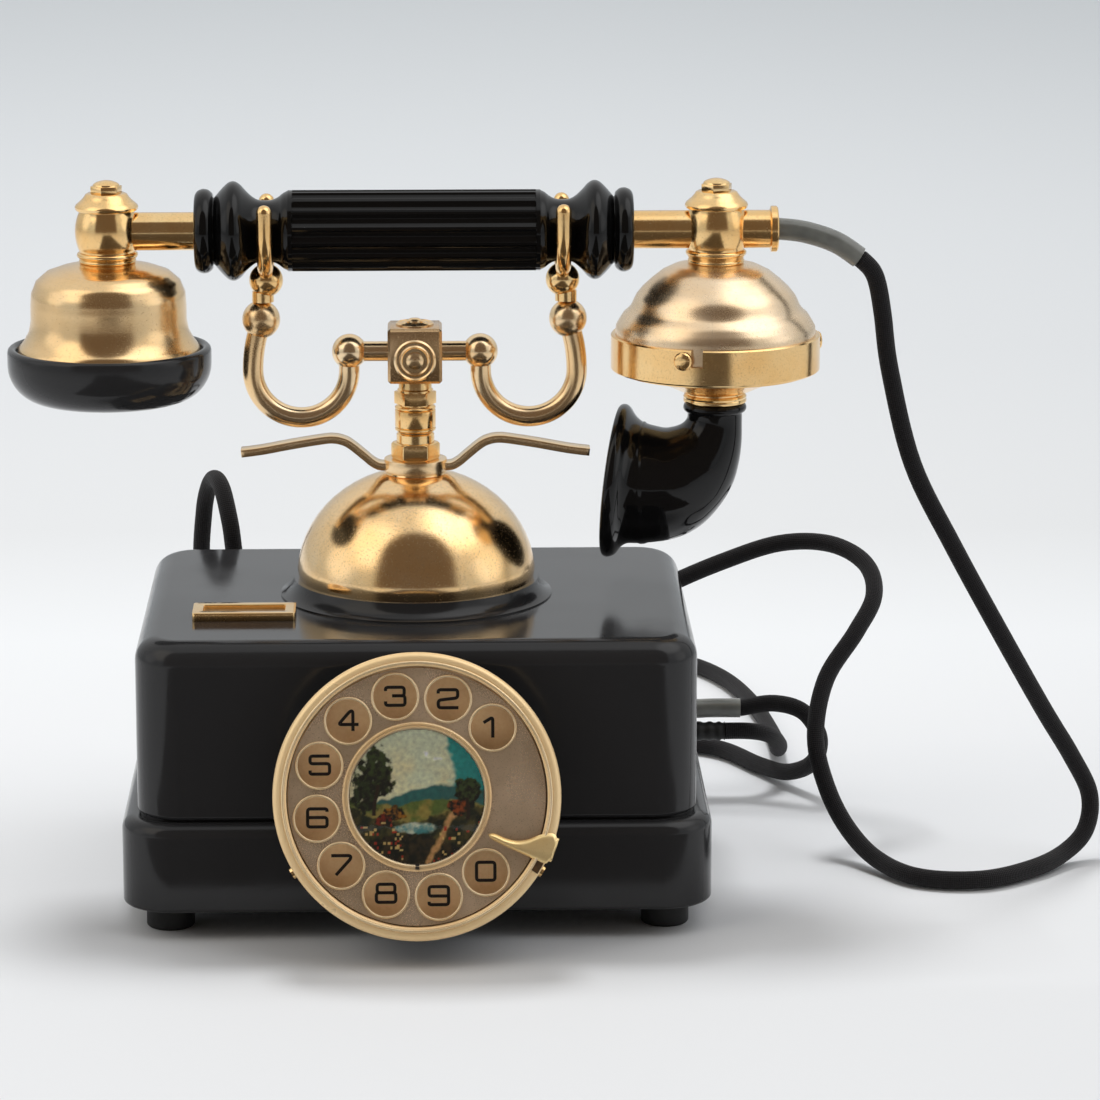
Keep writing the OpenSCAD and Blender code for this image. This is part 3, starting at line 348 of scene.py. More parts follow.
def tube(name, line, radii, sides, material, body):
    """A round tube along a line of points in metres. radii is one number in mm, or one for each point."""
    count = len(line)
    if not isinstance(radii, (list, tuple)):
        radii = [radii] * count
    ways = [(line[min(i + 1, count - 1)] - line[max(i - 1, 0)]).normalized() for i in range(count)]
    side = ways[0].orthogonal().normalized()
    points, lengths, run = [], [], 0.0
    for i, (centre, way) in enumerate(zip(line, ways)):
        side = (side - side.dot(way) * way).normalized()
        other = way.cross(side)
        if i:
            run += (centre - line[i - 1]).length
        lengths.append(run)
        for j in range(sides):
            a = math.tau * j / sides
            points.append(centre + radii[i] / 1000 * (math.cos(a) * side + math.sin(a) * other))
    faces, uvs = [], []
    for i in range(count - 1):
        for j in range(sides):
            k = (j + 1) % sides
            faces.append((i * sides + j, i * sides + k, (i + 1) * sides + k, (i + 1) * sides + j))
            uvs += [(j / sides, lengths[i]), ((j + 1) / sides, lengths[i]),
                    ((j + 1) / sides, lengths[i + 1]), (j / sides, lengths[i + 1])]
    faces.append(tuple(range(sides - 1, -1, -1)))
    faces.append(tuple((count - 1) * sides + j for j in range(sides)))
    uvs += [(j / sides, 0) for j in range(sides)] * 2
    return build(name, points, faces, material, body, 60, uvs)


def placed_points(route):
    """The route's points in the row frame."""
    return [at(*p) for p in route]


# ---------------------------------------------------------------- cords
CORD = 5.4                 # diameter of both cords
LYING_Z = 2.9              # height of a cord's axis where it lies on the table
COIL_CENTRE = (10, 192)
COIL_R = CORD * 5.3
HALF_COIL = 8.1            # half the width of the coil's section, and half its height
HANDSET_Z = 196            # height of the handset's axis

handset_route = [
    (131.3, 0, 187.2), (134.8, 0, 183.7), (136.7, 0.4, 179.1), (138.4, 1, 170), (140.9, 2, 153),
    (148, 1, 125), (160.5, -1, 100), (177, 1, 70), (190, 7, 47), (199, 11, 32), (205, 12, 19.5),
    (203.5, 8, 9.5), (196, 1, 4), (184.5, -12, 3), (168, -23, 3), (150, -20, 3), (139, -5, 4),
    (131, 8, 10), (125, 16, 21), (122, 24, 35), (126, 36, 50), (136, 46, 62.5), (142.5, 57, 71.5),
    (141, 71, 78.5), (131, 84, 82), (115.5, 92, 80.5), (97, 94, 74), (78, 93, 66), (52, 90, 54),
    (20, 88, 38), (-12, 86, 30), (-37, 82, 41), (-51, 78, 60), (-56.5, 75.5, 78), (-58.5, 76.5, 91.5),
    (-61.5, 85, 101.5), (-65, 97, 101), (-68, 105, 89), (-68.5, 106, 66), (-60, 106, 38), (-44, 110, 14.5),
    (-18, 117, 3.8), (34, 128, 3), (76, 136, 3), (98, 130, 3), (111, 108, 3), (119, 92, 5),
    (126, 80, 11.5), (127.5, 75, 21), (122.5, 76.5, 29), (113.5, 82, 30.5), (103, 86, 28)]
handset_line = curve_through(placed_points(handset_route), 8)
handset_cord = tube("handset_cord_braid", handset_line, CORD / 2, 20, BRAID, None)
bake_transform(handset_cord)
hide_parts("handset_cord")

inside_route = [(98.9, 0, 196), (106.9, 0, 196), (115, 0, 195), (124, 0, 192), (131.3, 0, 187.2)]
inside_cord = tube("cord_in_sleeve", curve_through(placed_points(inside_route), 6), CORD / 2 - 0.25, 20,
                   BRAID, "handset")

line_route = [
    (98, 85, 20.7), (106, 86.5, 20.2), (113, 93, 17.2), (117, 106, 10.6), (118, 124, 4.4), (118, 150, 2.8),
    (114, 190, 2.8), (106, 225, 2.8), (92, 248, 2.8), (68, 256, 2.8), (50, 243, 2.8), (44.5, 222, 2.8),
    (44, 192, 2.8)]
tail_route = [
    (-13, 182.2, 17.2), (-21, 190.2, 19.4), (-30, 199.2, 17.6), (-38, 207.2, 11.5),
    (-46, 215.2, 5.2), (-54, 223.2, 3.6), (-60, 229.2, 4)]


def coil_points(centre, mid, per_turn):
    """Nine turns, three side by side and three high, then three eighths of a turn on towards the tail."""
    turns = [(1, 0), (0, 0), (-1, 0), (-1, 1), (0, 1), (1, 1), (1, 2), (0, 2), (-1, 2), (-1, 2)]
    points = []
    for i in range(1, int(9.375 * per_turn) + 1):
        turn, step = divmod(i, per_turn)
        share = max(0.0, (step / per_turn - 0.8) / 0.2)
        share = share * share * (3 - 2 * share)
        here, ahead = turns[turn], turns[min(turn + 1, 9)]
        r = mid + CORD * (here[0] + (ahead[0] - here[0]) * share)
        z = LYING_Z + CORD * (here[1] + (ahead[1] - here[1]) * share)
        a = -math.tau * i / per_turn
        points.append((centre[0] + r * math.cos(a), centre[1] + r * math.sin(a), z))
    return points


line_line = curve_through(placed_points(line_route + coil_points(COIL_CENTRE, COIL_R, 16) + tail_route), 5)
line_cord = tube("line_cord_braid", line_line, CORD / 2, 16, BRAID, "root")
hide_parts("line_cord", "line_coil")

# pieces on the cords: grey vinyl sleeves, the rubber boot, the tie and the plug
clear_route = [(103.9, 0, 196), (106.9, 0, 196), (115, 0, 195), (124, 0, 192), (131, 0, 187.4)]
clear_sleeve = tube("vinyl_sleeve", curve_through(placed_points(clear_route), 8), 3.25, 28, SLEEVE,
                    "handset")
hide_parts("clear_sleeve")

sleeve_route = [(64, 69, 27.2), (70, 78, 27.2), (80, 84, 27.6), (92, 86, 28), (103, 86, 28)]
sleeve_line = curve_through(placed_points(sleeve_route), 8)
rear_sleeve = tube("vinyl_sleeve_rear", sleeve_line, 3.05, 28, SLEEVE, "root")
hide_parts("cord_sleeve")
rear_inner = tube("cord_in_rear_sleeve", sleeve_line, CORD / 2 - 0.2, 20, BRAID, "root")

boot_route = [(56, 69, 19), (62, 77, 19.4), (73, 83, 20), (86, 85, 20.6), (98, 85, 20.7)]
boot_line = curve_through(placed_points(boot_route), 16)
BOOT_R, BOOT_TAPER, RIB_DEPTH, FIRST_RIB = 3.7, 0.7, 0.35, 24
boot_radii = [BOOT_R - BOOT_TAPER * i / (len(boot_line) - 1) - (RIB_DEPTH if i % 4 > 1 and i > FIRST_RIB else 0.0)
              for i in range(len(boot_line))]
boot = tube("boot_ribbed", boot_line, boot_radii, 28, RUBBER, "root")
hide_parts("line_boot")


def coil_tie():
    """A flat strap round the coil's section, with rounded corners."""
    inner, outer, top = COIL_R - HALF_COIL, COIL_R + HALF_COIL, 3 * CORD + 0.3
    corner = 2.1
    outline = []
    for cx, cz, start in ((outer - 1.5, top - 1.5, 0), (inner + 1.5, top - 1.5, 90),
                          (inner + 1.5, 1.6, 180), (outer - 1.5, 1.6, 270)):
        outline += [(cx + corner * math.cos(math.radians(start + d)), cz + corner * math.sin(math.radians(start + d)))
                    for d in (0, 30, 60, 90)]
    turn = Matrix.Rotation(math.radians(100), 3, "Z")
    middle = Vector((COIL_R, 0, HALF_COIL))
    points, faces = [], []
    for r, z in outline:
        for side, grow in ((-3, 0.0), (-2.6, 0.55), (2.6, 0.55), (3, 0.0)):
            away = (Vector((r, 0, z)) - middle).normalized() * grow
            points.append(at(*(turn @ (Vector((r, side, max(z, 0.55))) + away) + Vector((*COIL_CENTRE, 0)))))
    count = len(outline)
    for i in range(count):
        k = (i + 1) % count
        for j in range(4):
            m = (j + 1) % 4
            faces.append((i * 4 + j, k * 4 + j, k * 4 + m, i * 4 + m))
    tie = build("cord_tie", points, faces, TIE, "root", 50)
    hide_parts("coil_tie")
    return tie


def rounded_box(name, size, centre, turn, radius, material, body):
    """A box with rounded edges, in mm, turned about Z by that many degrees."""
    mesh = bpy.data.meshes.new(name)
    corners = [Vector((x, y, z)) for x in (-0.5, 0.5) for y in (-0.5, 0.5) for z in (-0.5, 0.5)]
    spin = Matrix.Rotation(math.radians(turn), 3, "Z")
    mesh.from_pydata([at(*(spin @ Vector((c.x * size[0], c.y * size[1], c.z * size[2])) + Vector(centre)))
                      for c in corners], [],
                     [(0, 1, 3, 2), (4, 6, 7, 5), (0, 4, 5, 1), (2, 3, 7, 6), (0, 2, 6, 4), (1, 5, 7, 3)])
    mesh.materials.append(material)
    mesh.shade_smooth()
    box = bpy.data.objects.new(name, mesh)
    bpy.context.scene.collection.objects.link(box)
    edge = box.modifiers.new("edge", "BEVEL")
    edge.width = radius / 1000
    edge.segments = 3
    shade = box.modifiers.new("shade", "NODES")
    shade.node_group = SMOOTH
    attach(box, body)
    return box


tie = coil_tie()
plug = rounded_box("plug_body", (12, 22, 8), (-68.1, 237.3, 4), 45, 1.2, PLUG, "root")
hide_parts("line_plug")
plug_nose = rounded_box("plug_nose", (8, 6, 5), (-77.6, 246.8, 4), 45, 0.5, PLUG, "root")
plug_grip = rounded_box("plug_key", (5, 12, 1.2), (-69, 238.2, 8.2), 45, 0.4, PLUG, "root")
plug_contacts = [
    rounded_box(f"plug_contact_{i}", (0.7, 4, 0.6), (-77.6 - 0.9 * i, 246.8 - 0.9 * i, 6.5), 45, 0.15, BRASS,
                "root") for i in (-1.6, -0.5, 0.5, 1.6)]

# ---------------------------------------------------------------- CAD nodes that keep their shape
for name, bevel in (("column_nuts", 0.25), ("card_frame", 0.25), ("barrel", 0.25), ("acorn_nuts", 0.2)):
    dress(name, GOLD, bevel)
for name in ("column_guide", "forks", "handset_tube", "joint_balls", "joint_caps", "bayonet_pins", "bayonet_ring",
             "transmitter_plate", "dial_screws"):
    dress(name, GOLD)
dress("rest_arms", GOLD_ARM, 0.8)
dress("cradle_block", GOLD_BLOCK, 0.3)
dress("block_rosettes", GOLD_ARM)
dress("u_arms", GOLD_ARM)
dress("medallion_ring", GOLD_RIM)
dress("dome_bell", GOLD_DOME)
dress("receiver_bell", GOLD_BELL)
dress("transmitter_dome", GOLD_CAPSULE)
dress("dial_bezel", GOLD_BEZEL)
dress("finger_wheel", GOLD_WHEEL_PAINTED_SHEEN)
dress("number_plate", GOLD_PLATE)
dress("card_strip", GOLD_CARD)
for name in ("dome_collar", "dial_cup", "ear_cup"):
    dress(name, BLACK)
dress("base_feet", RUBBER)
for name in ("base_plate", "case_screws", "dial_frame", "ringer_frame", "governor_pinion", "clapper",
             "return_spring", "plunger", "capsules"):
    dress(name, ZINC)
for name in ("ringer_gongs", "dial_gear", "contact_springs"):
    dress(name, BRASS)
dress("ringer_coils", COPPER)
dress("circuit_board", BOARD)
dress("board_parts", PART)
dress("hook_switch", BROWN)
dress("medallion_lens", LENS)


# ---------------------------------------------------------------- moulded housing and plinth
CORNER_STEPS = 10


def rounded_plan(w, d, r):
    """Outline of a rectangle with corners of radius r, in mm."""
    points = []
    for sx, sy, start in ((1, 1, 0), (-1, 1, 90), (-1, -1, 180), (1, -1, 270)):
        for k in range(CORNER_STEPS + 1):
            a = math.radians(start + 90 * k / CORNER_STEPS)
            points.append((sx * (w / 2 - r) + r * math.cos(a), sy * (d / 2 - r) + r * math.sin(a)))
    return points


def moulding(name, w, d, r, profile):
    """A closed black shell of rounded rectangles: profile is (inset, height) in mm, from the bottom to the top."""
    points, faces, per = [], [], 0
    for inset, z in profile:
        plan = rounded_plan(w - 2 * inset, d - 2 * inset, max(r - inset, 0.6))
        per = len(plan)
        points += [at(x, y, z) for x, y in plan]
    for i in range(len(profile) - 1):
        for j in range(per):
            k = (j + 1) % per
            faces.append((i * per + j, i * per + k, (i + 1) * per + k, (i + 1) * per + j))
    faces.append(tuple(range(per - 1, -1, -1)))
    faces.append(tuple((len(profile) - 1) * per + j for j in range(per)))
    piece = build(name, points, faces, BLACK, "root", 35)
    piece.modifiers.new("weighted", "WEIGHTED_NORMAL").keep_sharp = True
    return piece


def edge_arc(z, r, steps):
    """Rounding of radius r that ends r further in and at height z."""
    arc = []
    for k in range(steps + 1):
        a = math.radians(90 * k / steps)
        arc.append((r - r * math.cos(a), z - r + r * math.sin(a)))
    return arc


housing = moulding("housing_shell", 162, 131, 13,
                   [(3, 35.3), (0.5, 35.3), (0.1, 35.8), (0, 36.4), (0, 60)] + edge_arc(87, 7, 12))
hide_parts("upper_housing")
plinth = moulding("plinth_shell", 171, 138, 15,
                  [(3, 8.5), (0.6, 8.5), (0.15, 8.9), (0, 9.5), (0, 20)] + edge_arc(34.5, 4, 8)
                  + [(5.4, 34.5), (5.5, 34.4), (5.5, 37.8), (8, 38)])
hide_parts("base_plinth")


# ---------------------------------------------------------------- horn
HORN_INNER = (
    (-8.1, 141), (-8.1, 139.9), (-8.5, 138.9), (-9.3, 137.9), (-10.3, 137.2), (-11.6, 136.6), (-13, 136.2),
    (-14.5, 135.9), (-16, 135.9), (-17.6, 136.2), (-19, 136.5), (-20.4, 136.9), (-21.7, 137.4), (-23, 138.3),
    (-24.2, 139.6), (-25.7, 141.8), (-27.1, 142.6), (-28.5, 142.2), (-29, 141))
HORN_OUTER = (
    (8.1, 141), (8.1, 137.6), (8.1, 133.5), (7.8, 129.3), (7.1, 125), (6, 120.8), (4.1, 116.6), (1.3, 112.3),
    (-2.6, 107.9), (-7.4, 104.5), (-13, 102.4), (-18.2, 101.5), (-22.5, 101.1), (-25.5, 101), (-27.6, 99.9),
    (-29.4, 97.6), (-31.5, 96.8), (-32.9, 97.3), (-33.3, 98.5))
HORN_BEAD = (
    (144.2, 8.5), (144, 8.9), (143.6, 9.2), (143, 9.4), (142.4, 9.35), (141.9, 9.1), (141.5, 8.6),
    (141.3, 8.15))
HORN_THROAT_R = 8.1
MIC_X = 88.8               # where the transmitter's axis crosses the handset's


def horn():
    """A flared thin-walled elbow, turned a little to the back, with a moulding seam near its mouth."""
    wall, sides, fine = 1.6, 80, 4
    middle = Vector((MIC_X, 0, 0))
    rings = [(Vector((MIC_X, 0, z)), Vector((-1, 0, 0)), r) for z, r in HORN_BEAD]
    inner = curve_through([(x, 0, z) for x, z in HORN_INNER], fine)
    outer = curve_through([(x, 0, z) for x, z in HORN_OUTER], fine)
    seam = 12 * fine - 2
    for i, (a, b) in enumerate(zip(inner, outer)):
        bead = 0.3 if i in (seam, seam + 1) else 0.0
        rings.append((middle + (a + b) / 2, (a - b).normalized(), (a - b).length / 2 + bead))
    inside = [(c, across, min(r, HORN_THROAT_R) - wall if i < len(HORN_BEAD) else r - wall)
              for i, (c, across, r) in enumerate(rings)]
    rings += reversed(inside)
    spin = Matrix.Rotation(math.radians(-9), 3, "Z")
    points, faces = [], []
    for centre, across, r in rings:
        for j in range(sides):
            b = math.tau * j / sides
            p = centre + r * (math.cos(b) * Vector((0, 1, 0)) + math.sin(b) * across)
            points.append(at(*(spin @ (p - middle) + middle)))
    count = len(rings)
    for i in range(count):
        n = (i + 1) % count
        for j in range(sides):
            k = (j + 1) % sides
            faces.append((i * sides + j, n * sides + j, n * sides + k, i * sides + k))
    piece = build("horn_moulding", points, faces, BLACK_HORN, "handset", 50)
    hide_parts("horn")


horn()


# ---------------------------------------------------------------- grip
FLUTES = 16
FLUTE_R, FLUTE_CIRCLE = 2.45, 13.35


def grip():
    """The turned grip: beads and necks at both ends, sixteen flutes along the middle."""
    half = [(11.7, 37.2), (11, 38.5), (10.1, 39.6), (9.35, 41), (9, 42.6), (9, 44.9), (9.45, 46.4), (10.4, 47.8),
            (11.95, 49.4), (13.5, 50.8), (14.35, 52), (14.6, 53.1), (14.2, 54.4), (13, 55.8), (11.6, 57.1),
            (10.4, 58.1), (9.8, 58.7), (10.9, 59), (11.7, 59.7), (12.2, 60.5), (12.4, 61.6), (12.2, 62.6),
            (11.7, 63.5), (10.9, 64.1), (9.8, 64.3), (5.6, 64.3)]
    line = [(p.x, p.y, False) for p in curve_through([(r, x, 0) for r, x in half], 4)]
    middle = [(11.9, 36.9, False), (11.9, 35.7, False), (11.9, 35.5, True), (11.9, 0, True)]
    right = [(r, x, f) for r, x, f in reversed(middle)] + line
    rings = [(r, -x, f) for r, x, f in reversed(right[1:])] + right
    sides, points, faces = 192, [], []
    for r, x, fluted in rings:
        for j in range(sides):
            a = math.tau * j / sides
            off = (a + math.pi / FLUTES) % (math.tau / FLUTES) - math.pi / FLUTES
            aside, reach = FLUTE_CIRCLE * math.sin(off), r
            if fluted and abs(aside) < FLUTE_R:
                reach = min(r, FLUTE_CIRCLE * math.cos(off) - math.sqrt(FLUTE_R ** 2 - aside ** 2))
            points.append(at(x, reach * math.cos(a), HANDSET_Z + reach * math.sin(a)))
    for i in range(len(rings) - 1):
        for j in range(sides):
            k = (j + 1) % sides
            faces.append((i * sides + j, i * sides + k, (i + 1) * sides + k, (i + 1) * sides + j))
    faces.append(tuple(range(sides - 1, -1, -1)))
    faces.append(tuple((len(rings) - 1) * sides + j for j in range(sides)))
    piece = build("grip_turned", points, faces, BLACK_GRIP, "handset", 32)
    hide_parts("grip")


grip()


# ---------------------------------------------------------------- dial
TILT = math.radians(13.5)
DIAL_Y, DIAL_Z = -90, 48.7
HOLE_CIRCLE, HOLE_R = 28.9, 6.5
FIRST_HOLE, HOLE_STEP = 42, 30
INK_THICK = 0.05


def on_dial(x, y, z):
    """A point on the dial, x to the right, y up its face and z out of it, in the row frame."""
    return at(x, DIAL_Y + y * math.sin(TILT) - z * math.cos(TILT),
              DIAL_Z + y * math.cos(TILT) + z * math.sin(TILT))


def hole_centre(i):
    """Where the i-th finger hole's axis crosses the dial."""
    a = math.radians(FIRST_HOLE + HOLE_STEP * i)
    return HOLE_CIRCLE * math.cos(a), HOLE_CIRCLE * math.sin(a)


def eased(path, r, closed):
    """The path with its corners rounded by r."""
    count, steps = len(path), 4
    result = []
    for i, p in enumerate(path):
        p = Vector(p)
        if not closed and i in (0, count - 1):
            result.append(p)
            continue
        before, after = Vector(path[i - 1]) - p, Vector(path[(i + 1) % count]) - p
        a = p + before.normalized() * min(r, before.length / 2)
        b = p + after.normalized() * min(r, after.length / 2)
        for k in range(steps + 1):
            t = k / steps
            result.append(a * (1 - t) ** 2 + 2 * p * t * (1 - t) + b * t ** 2)
    return result


def stroke(path, width, closed, centre, base, points, faces):
    """Adds a flat printed stroke along a path on the dial."""
    line = eased(path, 0.8, closed)
    count, first = len(line), len(points)
    for i, p in enumerate(line):
        before = line[i - 1] if closed or i else p
        after = line[(i + 1) % count] if closed or i < count - 1 else p
        way = (after - before).normalized()
        side = Vector((-way.y, way.x)) * width / 2
        for q in (p - side, p + side):
            points.append(on_dial(centre[0] + q.x, centre[1] + q.y, base))
            points.append(on_dial(centre[0] + q.x, centre[1] + q.y, base + INK_THICK))
    for i in range(count if closed else count - 1):
        a, b = first + 4 * i, first + 4 * ((i + 1) % count)
        faces.append((a + 1, b + 1, b + 3, a + 3))
        faces.append((a, b, b + 1, a + 1))
        faces.append((a + 3, b + 3, b + 2, a + 2))


W, H = 2.75, 2.55          # half the width and height of a digit
# the digits 1 to 9 and 0: their strokes, and whether these close on themselves
DIGITS = (
    ([((-2.5, 1.3), (0.1, 2.85), (0.1, -2.95))], False),
    ([((-W, 1.5), (-W, H), (W, H), (W, 0.2), (-W, -0.4), (-W, -H), (W + 0.2, -H))], False),
    ([((-W, 1.5), (-W, H), (W - 0.2, H), (W - 0.2, 0.15), (-0.9, 0.15)),
      ((-0.9, 0.15), (W, 0.15), (W, -H), (-W, -H), (-W, -1.4))], False),
    ([((1.3, -2.95), (1.3, 2.7), (0.5, 2.7), (-2.8, -1.1), (2.9, -1.1))], False),
    ([((W, H), (-W, H), (-W, 0.4), (W, 0.4), (W, -H), (-W, -H), (-W, -1.5))], False),
    ([((W, 1.7), (W, H), (-W, H), (-W, -H), (W, -H), (W, 0.1), (-W, 0.1))], False),
    ([((-2.9, 2.6), (2.6, 2.6), (2.6, 1.7), (-1.6, -2.9))], False),
    ([((-2.5, 0.15), (-2.5, H), (2.5, H), (2.5, 0.15)), ((-W, -H), (-W, 0.15), (W, 0.15), (W, -H))], True),
    ([((-W, -1.7), (-W, -H), (W, -H), (W, H), (-W, H), (-W, -0.1), (W, -0.1))], False),
    ([((-2.6, -H), (-2.6, H), (2.6, H), (2.6, -H))], True),
)


def dial_digits():
    """The digits, printed on the number plate under the finger holes."""
    points, faces = [], []
    for i, (paths, closed) in enumerate(DIGITS):
        for path in paths:
            stroke(path, 0.9, closed, hole_centre(i), -6.99, points, faces)
    build("dial_digits", points, faces, INK, "root", 40)


dial_digits()


def dial_piece(name, rings, closed, material, body):
    """A skin over rings of (x, y, z) points on the dial, closed on itself or left open with flat ends."""
    per, points, faces = len(rings[0]), [on_dial(*q) for ring in rings for q in ring], []
    for i in range(len(rings) if closed else len(rings) - 1):
        n = (i + 1) % len(rings)
        for j in range(per):
            k = (j + 1) % per
            faces.append((i * per + j, n * per + j, n * per + k, i * per + k))
    if not closed:
        faces.append(tuple(range(per)))
        faces.append(tuple((len(rings) - 1) * per + j for j in range(per - 1, -1, -1)))
    return build(name, points, faces, material, body, 40)


def rim(name, centre, radius, half_wide, half_tall, z, count, body):
    """A rolled rim: a ring of oval section lying on the dial."""
    rings = []
    for k in range(count):
        b = math.tau * k / count
        ring = []
        for m in range(10):
            c = math.tau * m / 10
            r = radius + half_wide * math.cos(c)
            ring.append((centre[0] + r * math.cos(b), centre[1] + r * math.sin(b), z + half_tall * math.sin(c)))
        rings.append(ring)
    dial_piece(name, rings, True, GOLD_RIM, body)


def dial_rims():
    """A rolled rim round each finger hole, and the ring's raised inner lip."""
    for i in range(10):
        rim(f"hole_rim_{(i + 1) % 10}", hole_centre(i), HOLE_R, 0.36, 0.34, -1.3, 56, "finger_wheel_body")
    rim("bezel_lip", (0, 0), 37.9, 0.45, 0.5, 0.08, 160, "root")


def dial_slots():
    """The slot in the ring under the finger stop's root, and the notch in the medallion's ring."""
    section = ((37.7, -0.6), (40.4, -0.6), (40.3, 0.03), (37.7, 0.03))
    rings = []
    for k in range(7):
        b = math.radians(-28.2 - 0.8 * k)
        rings.append([(r * math.cos(b), r * math.sin(b), z) for r, z in section])
    dial_piece("bezel_slot", rings, False, SLOT, "root")
    dial_piece("ring_notch", [[(x, -20.3, -1.4), (x, -18.9, -1.4), (x, -18.9, -0.45), (x, -20.3, -0.25)]
                              for x in (-0.55, 0.55)], False, INK, "finger_wheel_body")


def finger_stop():
    """A bent finger stop with a rounded face, folded over the ring's edge at its root."""
    upper = curve_through([(x, y, 0) for x, y in (
        (20, -10.7), (21.2, -10.35), (22.8, -10.8), (25, -11.8), (28, -12.5), (31.2, -12.2), (34.4, -11),
        (37, -10.5), (38.8, -10.8), (39.5, -11.9))], 5)
    lower = curve_through([(x, y, 0) for x, y in (
        (20, -10.9), (20.8, -11.9), (22.3, -12.8), (24.6, -14), (27.4, -15.3), (30, -16.5), (32.6, -17.6),
        (34.6, -18.4), (36.2, -19), (37.1, -18.4))], 5)
    rings = []
    for above, below in zip(upper, lower):
        ring = []
        for k in range(11):
            t = k / 10
            p = above.lerp(below, t)
            ring.append((p.x, p.y, 0.1 + 1.1 * math.sin(math.pi * t) ** 0.55 + 0.45 * t * math.sin(math.pi * t)))
        ring += [(below.x, below.y, 0.02), (above.x, above.y, 0.02)]
        rings.append(ring)
    for out, top, low in ((0.5, 0.75, -0.1), (0.7, 0.2, -0.4), (0.7, -3.9, -4.0)):
        way = Vector((0.93, -0.37, 0)) * out
        ring = []
        for k in range(11):
            p = upper[-1].lerp(lower[-1], k / 10) + way
            ring.append((p.x, p.y, top if 0 < k < 10 else (top + low) / 2))
        ring += [(lower[-1].x, lower[-1].y, low), (upper[-1].x, upper[-1].y, low)]
        rings.append(ring)
    piece = dial_piece("finger_stop_bent", rings, False, GOLD_STOP, "root")
    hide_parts("finger_stop")


finger_stop()
dial_rims()
dial_slots()


def blend_tones(a, b, t):
    """Tone a turning softly into tone b as t goes from 0 to 1."""
    t = max(0.0, min(1.0, t))
    t = t * t * (3 - 2 * t)
    return tuple(p + (q - p) * t for p, q in zip(a, b))


